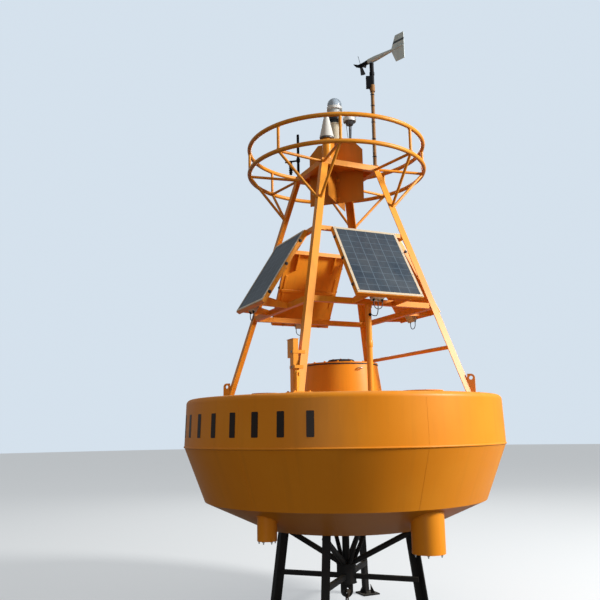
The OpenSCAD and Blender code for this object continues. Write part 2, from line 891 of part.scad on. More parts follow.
// Wind sensor: mast, socket with its terminal box, turning body and propeller
module wind_mast() {
    color("silver") translate([mast_xy, -mast_xy, platform_z]) {
        cylinder(h = mast_h, r = mast_r, $fn = 48);
        cylinder(h = foot_disc_t, r = 2 * mast_r, $fn = 48);
        translate([0, 0, mast_h - clamp_h]) cylinder(h = clamp_h, r = clamp_r, $fn = 48);
    }
}

module wind_socket() {
    color("black") translate([mast_xy, -mast_xy, mast_top]) {
        cylinder(h = socket_h, r = post_outer_r, $fn = 48);
        translate([0, 0, socket_ring_z[0]])
            cylinder(h = socket_ring_z[1] - socket_ring_z[0], r = clamp_r, $fn = 48);
        difference() {
            rotate(box_az) translate([0, -box_w / 2, -box_drop])
                cube([post_outer_r + box_reach, box_w, box_h]);
            translate([0, 0, -box_drop - 1]) cylinder(h = box_drop + 1, r = clamp_r + clamp_gap, $fn = 48);
        }
    }
}

module vane_place() {
    translate([mast_xy, -mast_xy, sensor_z]) rotate(sensor_az) children();
}

module vane_body() {
    neck_z = socket_h + run_gap - sensor_rise;
    fin_x = -tail_x;
    fin_t = 4;
    color("whitesmoke") vane_place() {
        translate([0, 0, neck_z]) cylinder(h = -neck_z, r = post_outer_r - 2, $fn = 48);
        rotate([0, 90, 0]) rotate_extrude($fn = 64)
            polygon([[0, fin_x + boom_r], [boom_r * 0.8, fin_x + boom_r], [boom_r, fin_x + fin_l],
                [body_r, -2 * body_r], [body_r, nose_x - 2], [body_r - 2, nose_x], [0, nose_x]]);
        translate([0, fin_t / 2, 0]) rotate([90, 0, 0]) linear_extrude(fin_t)
            polygon([[fin_x, -fin_h / 2], [fin_x, fin_h / 2], [fin_x + fin_l, fin_h / 2],
                [fin_x + fin_l + fin_point, 0], [fin_x + fin_l, -fin_h / 2]]);
    }
}

module vane_nose() {
    color("black") vane_place() translate([nose_x, 0, 0]) rotate([0, 90, 0])
        cylinder(h = nose_l - run_gap, r1 = body_r - 3, r2 = hub_r - 2, $fn = 64);
}

// One blade: a fan-shaped sheet, narrow at the hub and broad at its rounded tip
module blade() {
    rotate([0, 0, blade_pitch]) translate([blade_t / 2, 0, 0]) rotate([90, 0, -90]) linear_extrude(blade_t)
        intersection() {
            polygon([[-blade_root / 2, 0], [blade_root / 2, 0], [blade_tip / 2, prop_r],
                [-blade_tip / 2, prop_r]]);
            circle(prop_r);
        }
}

module propeller() {
    color("black") vane_place() translate([prop_x, 0, 0]) {
        translate([-hub_l / 2, 0, 0]) rotate([0, 90, 0]) cylinder(h = hub_l, r = hub_r, $fn = 48);
        translate([hub_l / 2, 0, 0]) rotate([0, 90, 0])
            cylinder(h = hub_r * 0.7, r1 = hub_r, r2 = hub_r / 2, $fn = 48);
        for (i = [0 : 3]) rotate([blade_turn + i * 90, 0, 0]) blade();
    }
}

// Under-frame
module stand_leg_bar(k) {
    at_corner(k) translate([stand_foot_rho, 0, 0]) rotate([0, -stand_lean, 0]) translate([0, 0, -foot_w])
        linear_extrude(keel_z / cos(stand_lean) + 2 * foot_w) rotate(45)
            angle_section(angle_w, angle_t);
}

module stand_legs() {
    color("dimgray") for (k = [0 : 3]) intersection() {
        stand_leg_bar(k);
        slab(foot_t, keel_z);
    }
}

module stand_feet() {
    color("dimgray") for (k = [0 : 3]) at_corner(k) translate([stand_foot_rho, 0, 0])
        linear_extrude(foot_t) rotate(45) difference() {
            square(foot_w, center = true);
            for (x = [-1, 1], y = [-1, 1]) translate([x, y] * (foot_w / 2 - foot_edge))
                circle(foot_hole_r, $fn = 32);
        }
}

// Column and hub in one, which the struts and diagonals meet
module column_solid() {
    translate([0, 0, column_z]) {
        cylinder(h = keel_z - column_z, r = column_r);
        cylinder(h = hub_block_h, r = hub_block_r);
    }
}

module stand_struts() {
    color("dimgray") for (k = [0 : 3]) difference() {
        at_corner(k) translate([0, -radial_w / 2, radial_z - radial_w / 2])
            cube([stand_rho(radial_z), radial_w, radial_w]);
        column_solid();
        stand_leg_bar(k);
    }
}

module diagonal_bar(k) {
    low_z = column_z + hub_block_h - diagonal_r;
    top_z = keel_z - 2 * diagonal_r;
    at_corner(k) bar([0, 0, low_z], [stand_rho(top_z), 0, top_z], diagonal_r);
}

module stand_diagonals() {
    color("dimgray") for (k = [0 : 3]) difference() {
        diagonal_bar(k);
        column_solid();
        stand_leg_bar(k);
    }
}

// Fan of four rods from the hub's top face up to the hull's bottom
module fan_rod(k) {
    hub_top = column_z + hub_block_h;
    foot_rho = hub_block_r - fan_rod_r;
    over = 2 * fan_rod_r;
    step = (fan_rho - foot_rho) / (keel_z - hub_top) * over;
    intersection() {
        at_side(k) bar([foot_rho - step, 0, hub_top - over], [fan_rho + step, 0, keel_z + over], fan_rod_r);
        slab(hub_top, keel_z);
    }
}

module stand_fan() {
    color("dimgray") for (k = [0 : 3]) fan_rod(k);
}

module stand_column() {
    color("dimgray") column_solid();
}

module mooring_eye() {
    color("dimgray") translate([0, eye_t / 2, column_z]) rotate([90, 0, 0]) linear_extrude(eye_t)
        difference() {
            union() {
                translate([-eye_r, -eye_drop]) square([2 * eye_r, eye_drop]);
                translate([0, -eye_drop]) circle(eye_r);
            }
            translate([0, -eye_drop]) circle(eye_hole_r);
        }
}

hull();
hatch_coaming();
hatch_hinge();
well_tubes();
well_covers();
tower_legs();
leg_shoes();
lifting_lugs();
beams_upper();
beams_lower();
tie_bar();
platform();
radar_reflector();
rail_ring_upper();
rail_ring_lower();
rail_posts();
rail_spokes();
rail_struts();
panel_trays();
panel_brackets();
solar_panels();
solar_glass();
conduit_pipe();
riser_duct();
lantern();
beacon_foot();
beacon();
aerial();
thin_post();
wind_mast();
wind_socket();
stand_legs();
stand_feet();
stand_struts();
stand_diagonals();
stand_fan();
stand_column();
mooring_eye();
hatch_lid();
lid_vent();
vane_body();
vane_nose();
propeller();
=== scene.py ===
from math import cos, pi, radians, sin, sqrt

import bmesh
import bpy
from mathutils import Matrix, Vector


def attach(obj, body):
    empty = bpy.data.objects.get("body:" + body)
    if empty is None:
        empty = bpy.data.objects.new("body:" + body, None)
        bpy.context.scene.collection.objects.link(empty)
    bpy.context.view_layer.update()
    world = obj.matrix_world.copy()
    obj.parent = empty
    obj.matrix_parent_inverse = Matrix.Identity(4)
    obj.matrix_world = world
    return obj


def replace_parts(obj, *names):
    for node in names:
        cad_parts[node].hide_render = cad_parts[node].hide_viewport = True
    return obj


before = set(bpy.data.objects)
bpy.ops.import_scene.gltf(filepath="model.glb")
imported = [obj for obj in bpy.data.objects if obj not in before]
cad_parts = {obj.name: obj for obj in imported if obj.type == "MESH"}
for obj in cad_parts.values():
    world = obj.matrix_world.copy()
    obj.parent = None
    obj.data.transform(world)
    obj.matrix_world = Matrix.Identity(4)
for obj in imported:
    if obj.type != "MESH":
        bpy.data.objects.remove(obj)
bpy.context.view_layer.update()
scene = bpy.context.scene
scene.view_settings.view_transform = "Standard"

# Camera: at eye height, 6.9 m from the buoy and left of its front face, tilted up.
# Its place, turn and lens are the photograph's, worked out from points measured on the object.
CAMERA_SWING, CAMERA_REACH, CAMERA_Z = radians(28.13), 6.92, 1.65
CAMERA_TURN, CAMERA_TILT, CAMERA_ROLL = radians(3.24), radians(10.32), radians(0.908)
SENSOR_W, LENS, SIGHT = 36, 42.48, 200
ahead = CAMERA_SWING - CAMERA_TURN
level = Vector((sin(ahead), cos(ahead), 0))
forward = level * cos(CAMERA_TILT) + Vector((0, 0, sin(CAMERA_TILT)))
upright = Vector((0, 0, cos(CAMERA_TILT))) - level * sin(CAMERA_TILT)
across = forward.cross(upright)
camera_x = across * cos(CAMERA_ROLL) - upright * sin(CAMERA_ROLL)
camera_y = across * sin(CAMERA_ROLL) + upright * cos(CAMERA_ROLL)
camera = bpy.data.objects.new("camera", bpy.data.cameras.new("camera"))
camera.data.sensor_width, camera.data.lens, camera.data.clip_end = SENSOR_W, LENS, SIGHT
camera.matrix_world = Matrix((
    (camera_x.x, camera_y.x, -forward.x, -CAMERA_REACH * sin(CAMERA_SWING)),
    (camera_x.y, camera_y.y, -forward.y, -CAMERA_REACH * cos(CAMERA_SWING)),
    (camera_x.z, camera_y.z, -forward.z, CAMERA_Z), (0, 0, 0, 1)))
scene.collection.objects.link(camera)
scene.camera = camera


# Studio: a plain pale floor under an even pale world, with one large soft key lamp from the right,
# a weak fill from the left and a soft rim from behind. The floor and the world look pale to the
# eye and in reflections, and give back less light than that to the underside of the hull.
def feed(tree, taker, inputs):
    """Sets or links the inputs of a node or a shader."""
    for key, value in inputs.items():
        if isinstance(value, bpy.types.NodeSocket):
            tree.links.new(value, taker.inputs[key])
        else:
            taker.inputs[key].default_value = value


def node(tree, kind, inputs, **settings):
    """Adds a shader node, sets its properties, then sets or links its inputs."""
    made = tree.nodes.new("ShaderNode" + kind)
    for key, value in settings.items():
        setattr(made, key, value)
    feed(tree, made, inputs)
    return made


def shade_of(code):
    """A colour written as six hex digits, as the renderer's linear red, green, blue and alpha."""
    levels = [int(code[i:i + 2], 16) / 255 for i in (0, 2, 4)]
    return [c / 12.92 if c <= 0.04045 else ((c + 0.055) / 1.055) ** 2.4 for c in levels] + [1]


def bare_material(name):
    """A new material: its node tree, its shader and its texture coordinates."""
    material = bpy.data.materials.new(name)
    material.use_nodes = True
    tree = material.node_tree
    return material, tree, tree.nodes["Principled BSDF"], node(tree, "TexCoord", {}).outputs


def spread(tree, value, low, high, out_low=0.0, out_high=1.0):
    """Maps a value from one range to another, held at both ends."""
    return node(tree, "MapRange", {0: value, 1: low, 2: high, 3: out_low, 4: out_high}).outputs[0]


def sums(tree, kind, a, b=0.0):
    """One step of arithmetic between two values."""
    return node(tree, "Math", {0: a, 1: b}, operation=kind).outputs[0]


def times(tree, a, b):
    return sums(tree, "MULTIPLY", a, b)


def blended(tree, amount, a, b):
    """Colour a, or b where amount is 1. Each is a socket, four levels or six hex digits."""
    a, b = (shade_of(colour) if isinstance(colour, str) else colour for colour in (a, b))
    return node(tree, "Mix", {0: amount, 6: a, 7: b}, data_type="RGBA").outputs[2]


def cloud(tree, place, scale, detail, rough=0.5):
    """Soft noise from 0 to 1."""
    return node(tree, "TexNoise", {"Vector": place, "Scale": scale, "Detail": detail,
                                   "Roughness": rough}).outputs["Fac"]


def seen_by_eye(tree):
    """Two masks: rays from the camera, and those with what metal and glass send on to it."""
    rays = node(tree, "LightPath", {}).outputs
    seen = sums(tree, "MAXIMUM", rays["Is Camera Ray"], rays["Is Glossy Ray"])
    return rays["Is Camera Ray"], sums(tree, "MAXIMUM", seen, rays["Is Transmission Ray"])


FLOOR_R, FLOOR_SIDES, FLOOR_ROUGHNESS = 60, 64, 0.9
FLOOR_BOUNCED, FLOOR_SEEN = "3A332A", "A9AAA9"
FLOOR_GLOW, FLOOR_GLOW_SHARE = (0.72, 0.77, 0.82, 1), 0.50
floor_mesh = bmesh.new()
bmesh.ops.create_circle(floor_mesh, cap_ends=True, segments=FLOOR_SIDES, radius=FLOOR_R)
floor = bpy.data.objects.new("floor", bpy.data.meshes.new("floor"))
floor_mesh.to_mesh(floor.data)
floor_mesh.free()
floor_paint, floor_tree, floor_shader, _ = bare_material("floor")
floor_direct, floor_seen = seen_by_eye(floor_tree)
feed(floor_tree, floor_shader, {
    "Base Color": blended(floor_tree, floor_seen, FLOOR_BOUNCED, FLOOR_SEEN),
    "Roughness": FLOOR_ROUGHNESS,
    "Emission Color": FLOOR_GLOW,
    "Emission Strength": times(floor_tree, floor_direct, FLOOR_GLOW_SHARE)})
floor.data.materials.append(floor_paint)
scene.collection.objects.link(floor)

WORLD_FILL, WORLD_MIRRORED, WORLD_SEEN = 0.29, 0.42, 0.90
WORLD_BOUNCED_TONE, WORLD_SEEN_TONE = (1.0, 0.95, 0.88, 1), (0.74, 0.84, 0.94, 1)
world = bpy.data.worlds.new("studio")
scene.world = world
world.use_nodes = True
sky = world.node_tree
sky_direct, sky_seen = seen_by_eye(sky)
sky_strength = spread(sky, sky_seen, 0, 1, WORLD_FILL, WORLD_MIRRORED)
feed(sky, sky.nodes["Background"], {
    "Color": blended(sky, sky_seen, WORLD_BOUNCED_TONE, WORLD_SEEN_TONE),
    "Strength": sums(sky, "MAXIMUM", sky_strength, times(sky, sky_direct, WORLD_SEEN))})


def aimed(place, direction):
    """Puts an object or a shape at a place, with its +Z along a direction."""
    return (Matrix.Translation(Vector(place))
            @ Vector(direction).to_track_quat("Z", "Y").to_matrix().to_4x4())


def soft_lamp(name, place, aim, size, watts):
    """A round area lamp at a place, facing its aim."""
    lamp = bpy.data.lights.new(name, "AREA")
    lamp.shape, lamp.size, lamp.energy = "DISK", size, watts
    holder = bpy.data.objects.new(name, lamp)
    holder.matrix_world = aimed(place, Vector(place) - Vector(aim))
    scene.collection.objects.link(holder)


soft_lamp("key", place=(8.6, -8.2, 7.6), aim=(0, 0, 2.4), size=3, watts=2750)
soft_lamp("fill", place=(-8, -9.5, 2.6), aim=(0, 0, 1.8), size=5, watts=150)
soft_lamp("rim", place=(4, 9, 8), aim=(0, 0, 3), size=5, watts=300)


# Hull: rolled and welded steel plate, blasted and sprayed with yellow-orange marine paint that has
# dulled, with butt welds up its sides, a round bead on its widest line and plain black bars painted
# on its band.
def shared_effect(name, inputs, outputs):
    """An empty node group with named sockets: its tree, what it is given and its output node."""
    group = bpy.data.node_groups.new(name, "ShaderNodeTree")
    for label, kind in inputs:
        group.interface.new_socket(label, in_out="INPUT", socket_type="NodeSocket" + kind)
    for label, kind in outputs:
        group.interface.new_socket(label, in_out="OUTPUT", socket_type="NodeSocket" + kind)
    return group, group.nodes.new("NodeGroupInput").outputs, group.nodes.new("NodeGroupOutput")


MOTTLE_SCALE, CHIP_SCALE, DUST_SCALE, PEEL_SCALE = 1.6, 11, 5, 190
CHIP_FROM, CHIP_EDGE = 0.80, 0.02
weather_and_shade, given, weather_and_shade_end = shared_effect(
    "weather_and_shade", (("Place", "Vector"), ("Facing", "Vector"), ("Flow", "Vector"), ("Chips", "Float")),
    [(label, "Float") for label in ("Mottle", "Streak", "Chip", "Dust", "Peel", "ShadeBelow")])
facing_up = node(weather_and_shade, "SeparateXYZ", {0: given["Facing"]}).outputs[2]
on_wall = spread(weather_and_shade, sums(weather_and_shade, "ABSOLUTE", facing_up), 0.9, 0.5)
runs = spread(weather_and_shade, cloud(weather_and_shade, given["Flow"], 1, 4, 0.55), 0.50, 0.78)
chip_from = sums(weather_and_shade, "SUBTRACT", CHIP_FROM, given["Chips"])
dust_patches = spread(weather_and_shade, cloud(weather_and_shade, given["Place"], DUST_SCALE, 5, 0.65), 0.32, 0.66)
feed(weather_and_shade, weather_and_shade_end, {
    "Mottle": spread(weather_and_shade, cloud(weather_and_shade, given["Place"], MOTTLE_SCALE, 4), 0.3, 0.7),
    "Streak": times(weather_and_shade, runs, on_wall),
    "Chip": spread(weather_and_shade, cloud(weather_and_shade, given["Place"], CHIP_SCALE, 6, 0.72), chip_from,
                   sums(weather_and_shade, "ADD", chip_from, CHIP_EDGE)),
    "Dust": times(weather_and_shade, spread(weather_and_shade, facing_up, 0.35, 0.95), dust_patches),
    "Peel": cloud(weather_and_shade, given["Place"], PEEL_SCALE, 2),
    # painted shade: faces that point down are darkened, more the further down they face
    "ShadeBelow": spread(weather_and_shade, facing_up, -0.15, -0.8)})
FLOW_SCALE, ROUND_FLOW_SCALE, ROUND_FLOW_RISE = (19, 19, 0.9), (22, 22, 22), (0, 0, 1.1)


def stretched(tree, place, scale):
    return node(tree, "VectorMath", {0: place, 1: scale}, operation="MULTIPLY").outputs[0]


def weathered_and_shaded(tree, at_point, chips, round_body=False):
    """The weather on a surface, with painted shade on faces that point down. Rain runs down it, on the
    hull in lines of one bearing.
    """
    place = at_point["Object"]
    flow = stretched(tree, place, FLOW_SCALE)
    if round_body:
        outward = stretched(tree, place, (1, 1, 0))
        outward = node(tree, "VectorMath", {0: outward}, operation="NORMALIZE").outputs[0]
        flow = node(tree, "VectorMath", {0: stretched(tree, outward, ROUND_FLOW_SCALE),
                                         1: stretched(tree, place, ROUND_FLOW_RISE)},
                    operation="ADD").outputs[0]
    return node(tree, "Group", {"Place": place, "Facing": at_point["Normal"], "Flow": flow,
                                "Chips": chips}, node_tree=weather_and_shade).outputs


def grainy(tree, height, strength, depth):
    return node(tree, "Bump", {"Strength": strength, "Distance": depth, "Height": height}).outputs[0]


RUST_DARK, RUST_PALE, RUST_SCALE = "4A2412", "8E4A1E", 60
SHADE_BELOW_SHARE, WORN_ROUGHNESS = 0.25, 0.85


def painted_steel(name, colour, faded, chips, roughness=0.42, dirt="6B4A22", dust="C9A878",
                  shade_below_tone="7A4A16", coat=0.03, streaks=0.22, round_body=False, dusty=0.3):
    """Sprayed steel: faded patches, rain streaks, dust on top faces, painted shade on faces that point
    down and chips to rust.
    """
    material, tree, shader, at_point = bare_material(name)
    worn_and_shaded = weathered_and_shaded(tree, at_point, chips, round_body)
    tint = blended(tree, worn_and_shaded["Mottle"], colour, faded)
    # streaks and dust are dirt on the paint; the darker tone on down-facing faces is painted shade
    for mask, share, tone in (("Streak", streaks, dirt), ("ShadeBelow", SHADE_BELOW_SHARE, shade_below_tone),
                              ("Dust", dusty, dust)):
        tint = blended(tree, times(tree, worn_and_shaded[mask], share), tint, tone)
    rust = blended(tree, cloud(tree, at_point["Object"], RUST_SCALE, 5, 0.7), RUST_DARK, RUST_PALE)
    dull = sums(tree, "ADD", worn_and_shaded["Dust"], worn_and_shaded["Chip"])
    relief = sums(tree, "SUBTRACT", worn_and_shaded["Peel"], worn_and_shaded["Chip"])
    feed(tree, shader, {
        "Base Color": blended(tree, worn_and_shaded["Chip"], tint, rust),
        "Roughness": spread(tree, dull, 0, 1, roughness, WORN_ROUGHNESS),
        "Normal": grainy(tree, relief, strength=0.16, depth=0.001),
        "Coat Weight": coat, "Coat Roughness": 0.3, "Specular IOR Level": 0.18})
    return material


def dress(material, *names):
    """Gives CAD nodes a finished material."""
    for name in names:
        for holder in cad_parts[name].material_slots:
            holder.material = material


def settle(name, data, material, body):
    """Makes the object of a finished mesh or curve, with its material, slot and body."""
    data.materials.append(material)
    piece = bpy.data.objects.new(name, data)
    scene.collection.objects.link(piece)
    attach(piece, body)
    return piece


CREASE = radians(32)


def place_piece(name, shape, material, body="root"):
    """Ends a bmesh: points its faces outwards and rounds its shading up to the crease angle."""
    bmesh.ops.recalc_face_normals(shape, faces=shape.faces)
    for face in shape.faces:
        face.smooth = True
    for side in shape.edges:
        side.smooth = len(side.link_faces) == 2 and side.calc_face_angle(0) < CREASE
    mesh = bpy.data.meshes.new(name)
    shape.to_mesh(mesh)
    shape.free()
    return settle(name, mesh, material, body)


def place_wire(name, runs, radius, material, body="root", closed=False):
    """Weld beads, wires and round bars: a smooth tube along the points of each run."""
    line = bpy.data.curves.new(name, "CURVE")
    line.dimensions, line.use_fill_caps = "3D", True
    line.bevel_depth, line.bevel_resolution = radius, 2
    for run in runs:
        spline = line.splines.new("POLY")
        spline.points.add(len(run) - 1)
        for point, spot in zip(spline.points, run):
            point.co = (*spot, 1)
        spline.use_cyclic_u = closed
    return settle(name, line, material, body)


def at(x, y, z):
    return Matrix.Translation((x, y, z))


def turn(degrees, axis="Z"):
    return Matrix.Rotation(radians(degrees), 4, axis)


def polar(radius, bearing, z):
    return Vector((radius * cos(radians(bearing)), radius * sin(radians(bearing)), z))


def around(count, start=0):
    """Evenly spread bearings."""
    return [start + i * 360 / count for i in range(count)]


def circle_of(radius, z, count, middle=(0, 0)):
    """Points round a level circle."""
    return [polar(radius, way, z) + Vector((*middle, 0)) for way in around(count)]


def rod(shape, start, end, radius, sides=16, far_radius=None):
    """A closed bar between two points, tapered where far_radius is given."""
    start, end = Vector(start), Vector(end)
    bmesh.ops.create_cone(shape, cap_ends=True, segments=sides, radius1=radius,
                          radius2=radius if far_radius is None else far_radius,
                          depth=(end - start).length, matrix=aimed((start + end) / 2, end - start))


def chamfered(shape, sides, width, steps):
    bmesh.ops.bevel(shape, geom=sides, offset=width, affect="EDGES", segments=steps, profile=0.5,
                    material=-1)


def slab(shape, size, place):
    """The corners of a new block of that size."""
    return bmesh.ops.create_cube(shape, size=1, matrix=place @ Matrix.Diagonal((*size, 1)))["verts"]


def block(shape, size, place, chamfer, steps=1):
    """A block of that size with its edges taken off."""
    sides = {side for corner in slab(shape, size, place) for side in corner.link_edges}
    chamfered(shape, list(sides), chamfer, steps)


def turned(shape, profile, place, steps, closed=False):
    """Spins points of radius and height round the +Z axis of a place, closed where asked."""
    spots = [shape.verts.new(place @ Vector((r, 0, h))) for r, h in profile]
    ends = spots[1:] + (spots[:1] if closed else [])
    lines = [shape.edges.new(pair) for pair in zip(spots, ends)]
    before = set(shape.verts) - set(spots)
    bmesh.ops.spin(shape, geom=spots + lines, cent=place.translation, angle=2 * pi, steps=steps,
                   axis=place.to_3x3() @ Vector((0, 0, 1)), use_merge=True)
    bmesh.ops.remove_doubles(shape, verts=[v for v in shape.verts if v not in before], dist=1e-6)


# Radius and height of the bottom's rim, the lower chine, the widest line and the deck's shoulder
HULL_STATIONS = ((0.780, 0.770), (1.308, 1.010), (1.5, 1.5), (1.486, 1.884))
# painted shade: the down-facing bottom cone is darkened towards the default brown shade tone
hull_paint = painted_steel("hull_paint", "E08512", "E48E1E", chips=0.0, streaks=0.09, roughness=0.45,
                           round_body=True)
dress(hull_paint, "hull")
SEAM_BEARINGS, BOTTOM_SEAM_SHIFT, SEAM_R, SEAM_SIDES = (28, 88, 148, 208, 268, 328), 30, 0.0008, 8
seams = bmesh.new()
for bearing in SEAM_BEARINGS:
    for first in (1, 2, 0):
        way = bearing + (0 if first else BOTTOM_SEAM_SHIFT)
        (r0, z0), (r1, z1) = HULL_STATIONS[first:first + 2]
        rod(seams, polar(r0, way, z0), polar(r1, way, z1), SEAM_R, SEAM_SIDES)
BEAD_MIDDLE_R, BEAD_R, BEAD_SIDES, BEAD_STEPS = 1.4964, 0.0095, 16, 360
bead = [2 * pi * i / BEAD_SIDES for i in range(BEAD_SIDES)]
turned(seams, [(BEAD_MIDDLE_R + BEAD_R * cos(a), BEAD_R * sin(a)) for a in bead],
       at(0, 0, HULL_STATIONS[2][1]), BEAD_STEPS, closed=True)
place_piece("hull_seams", seams, hull_paint)

MARK_BEARINGS = (169.2, 178.2, 187.2, 196.4, 205.6, 214.4, 223.2, 232.4)
MARK_W, MARK_H, MARK_T, MARK_CORNER = 0.062, 0.200, 0.0016, 0.007
MARK_R, MARK_Z, BAND_LEAN = 1.4932, 1.688, -2.1
mark_paint = painted_steel("mark_paint", "1C1410", "2A1C12", chips=0.02, dirt="3A2812", coat=0.05)
marks = bmesh.new()
for bearing in MARK_BEARINGS:
    place = turn(bearing) @ at(MARK_R + MARK_T / 2, 0, MARK_Z) @ turn(BAND_LEAN, "Y")
    inward = place.to_3x3() @ Vector((1, 0, 0))
    corners = {side for corner in slab(marks, (MARK_T, MARK_W, MARK_H), place)
               for side in corner.link_edges
               if abs((side.verts[1].co - side.verts[0].co).normalized().dot(inward)) > 0.9}
    chamfered(marks, list(corners), MARK_CORNER, 3)
place_piece("hull_marks", marks, mark_paint)


# Instrument wells: two steel tubes welded down through the hull, open below with a ring of studs
# for a sensor guard, and closed on deck by blank covers on gaskets, with screws sunk in their holes.
def hex_bolt(shape, foot, direction, across_flats, height, washer=True):
    """A hexagon head on a washer, standing on foot and pointing along direction."""
    foot, direction = Vector(foot), Vector(direction).normalized()
    lift = across_flats * 0.12 if washer else 0.0
    if washer:
        rod(shape, foot, foot + direction * lift, across_flats, 16, across_flats * 0.96)
    rod(shape, foot + direction * lift, foot + direction * (lift + height), across_flats / sqrt(3), 6)


def ring(shape, inner, outer, low, high, place, steps=48):
    """A square-cut ring round the +Z axis of a place."""
    turned(shape, ((inner, low), (outer, low), (outer, high), (inner, high)), place, steps, closed=True)


def hull_z(radius):
    """The height of the hull's bottom cone at a distance from its axis."""
    (r0, z0), (r1, z1) = HULL_STATIONS[:2]
    return z0 + (radius - r0) * (z1 - z0) / (r1 - r0)


UP = Vector((0, 0, 1))
DECK_Z, COVER_T, BOLT_CIRCLE_OUT = 1.930, 0.020, 0.021
# Distance from the hull's axis, bearing, radius, lower end and number of cover screws of each well
WELLS = ((1.120, 278.4, 0.136, 0.650, 12), (1.104, 206.4, 0.082, 0.755, 8))
SCREW_R, SCREW_DEPTH, SCREW_SINK = 0.0066, 0.018, 0.0004
SCREW_HEAD_R, HEAD_DEPTH, HEAD_RISE = 0.0056, 0.002, 0.0016
STUDS, STUD_R, STUD_INSET, STUD_SHIFT, STUD_BELOW, STUD_ABOVE = 6, 0.005, 0.016, 15, 0.022, 0.045
GUARD_IN, GUARD_OUT, GUARD_T = 0.026, 0.006, 0.006
GASKET_IN, GASKET_OUT, GASKET_LOW, GASKET_HIGH = 0.020, 0.0425, 0.0095, 0.0115
WELL_WELD_R, WELL_WELD_OUT, WELL_WELD_SINK = 0.0055, 0.002, 0.001
dress(hull_paint, "well_tubes", "well_covers")
steel, steel_tree, steel_shader, steel_at = bare_material("galvanised_steel")
spangle = node(steel_tree, "TexVoronoi", {"Vector": steel_at["Object"], "Scale": 160.0})
steel_tone = blended(steel_tree, spread(steel_tree, spangle.outputs["Distance"], 0.1, 0.7),
                     "85898B", "A2A6A7")
steel_rust = spread(steel_tree, cloud(steel_tree, steel_at["Object"], 24, 5, 0.7), 0.56, 0.7)
feed(steel_tree, steel_shader, {
    "Base Color": blended(steel_tree, times(steel_tree, steel_rust, 0.6), steel_tone, "7A4A24"),
    "Roughness": spread(steel_tree, steel_rust, 0, 1, 0.4, 0.8),
    "Metallic": spread(steel_tree, steel_rust, 0, 1, 0.8, 0.2)})
cover_bolts, guard_studs, well_gaskets, well_welds = bmesh.new(), bmesh.new(), bmesh.new(), []
for rho, bearing, radius, low_z, count in WELLS:
    foot = polar(rho, bearing, 0)
    for way in around(count, bearing):
        top = foot + polar(radius + BOLT_CIRCLE_OUT, way, DECK_Z + COVER_T)
        rod(cover_bolts, top - UP * SCREW_DEPTH, top - UP * SCREW_SINK, SCREW_R)
        rod(cover_bolts, top - UP * HEAD_DEPTH, top + UP * HEAD_RISE, SCREW_HEAD_R, 6)
    for way in around(STUDS, bearing + STUD_SHIFT):
        stud = foot + polar(radius - STUD_INSET, way, low_z)
        rod(guard_studs, stud - UP * STUD_BELOW, stud + UP * STUD_ABOVE, STUD_R, 12)
        hex_bolt(guard_studs, stud, -UP, across_flats=0.015, height=0.008)
    ring(guard_studs, radius - GUARD_IN, radius - GUARD_OUT, low_z, low_z + GUARD_T, at(*foot))
    ring(well_gaskets, radius + GASKET_IN, radius + GASKET_OUT, DECK_Z + GASKET_LOW, DECK_Z + GASKET_HIGH,
         at(*foot))
    joint = circle_of(radius + WELL_WELD_OUT, 0, 64, foot.xy)
    well_welds.append([(spot.x, spot.y, hull_z(spot.xy.length) - WELL_WELD_SINK) for spot in joint])
place_piece("well_cover_bolts", cover_bolts, steel)
place_piece("well_guard_studs", guard_studs, steel)
place_wire("well_welds", well_welds, WELL_WELD_R, hull_paint, closed=True)

# Hatch: a tapered steel coaming welded to the deck, with a flat hinged lid on a rubber seal,
# hexagon bolts near its rim, a lifting handle, a low vent cap on top and a staple for a padlock.
LID_Z, LID_R, LID_T, COAMING_R, COAMING_TOP_R = 2.2483, 0.354, 0.012, 0.395, 0.350
VENT_R, VENT_H, LID_TOP = 0.145, 0.044, LID_Z + LID_T
dress(hull_paint, "hatch_coaming", "hatch_lid", "hatch_hinge")
rubber, rubber_tree, rubber_shader, rubber_at = bare_material("black_rubber")
rubber_grain = cloud(rubber_tree, rubber_at["Object"], 120, 3)
feed(rubber_tree, rubber_shader, {
    "Base Color": blended(rubber_tree, rubber_grain, "141312", "2B2622"),
    "Roughness": spread(rubber_tree, rubber_grain, 0, 1, 0.5, 0.75),
    "Normal": grainy(rubber_tree, rubber_grain, strength=0.2, depth=0.0008)})
dress(rubber, "lid_vent")
place_piece("well_cover_gaskets", well_gaskets, rubber)
# The seal's lip: how far out of the lid's rim and down from the lid each point is
SEAL_IN, SEAL_TOP, SEAL_LOW = COAMING_TOP_R - 0.003, LID_Z - 0.0008, LID_Z - 0.011
SEAL_LIP = ((0.0010, 0.0008), (0.0025, 0.0040), (0.0015, 0.0110))
seal = bmesh.new()
turned(seal, [(SEAL_IN, SEAL_TOP)] + [(LID_R + out, LID_Z - down) for out, down in SEAL_LIP]
       + [(SEAL_IN, SEAL_LOW)], at(0, 0, 0), 96, closed=True)
place_piece("hatch_seal", seal, rubber)
LID_BOLTS, LID_BOLT_INSET, HINGES_FROM, HINGES_TO = 16, 0.03, 55, 125
VENT_BOLTS, VENT_BOLT_SHARE = 6, 0.6
lid_bolts = bmesh.new()
for way in around(LID_BOLTS, 180 / LID_BOLTS):
    if not HINGES_FROM < way < HINGES_TO:
        hex_bolt(lid_bolts, polar(LID_R - LID_BOLT_INSET, way, LID_TOP), UP, 0.017, 0.009)
for way in around(VENT_BOLTS):
    hex_bolt(lid_bolts, polar(VENT_R * VENT_BOLT_SHARE, way, LID_TOP + VENT_H), UP, 0.012, 0.006)
place_piece("hatch_lid_bolts", lid_bolts, hull_paint, "hatch")


def bent_bar(half, rise, bend):
    """The line of a bar bent into a handle: along it, and out from its feet."""
    return ((-half, 0), (-half, rise - bend), (bend - half, rise), (half - bend, rise),
            (half, rise - bend), (half, 0))


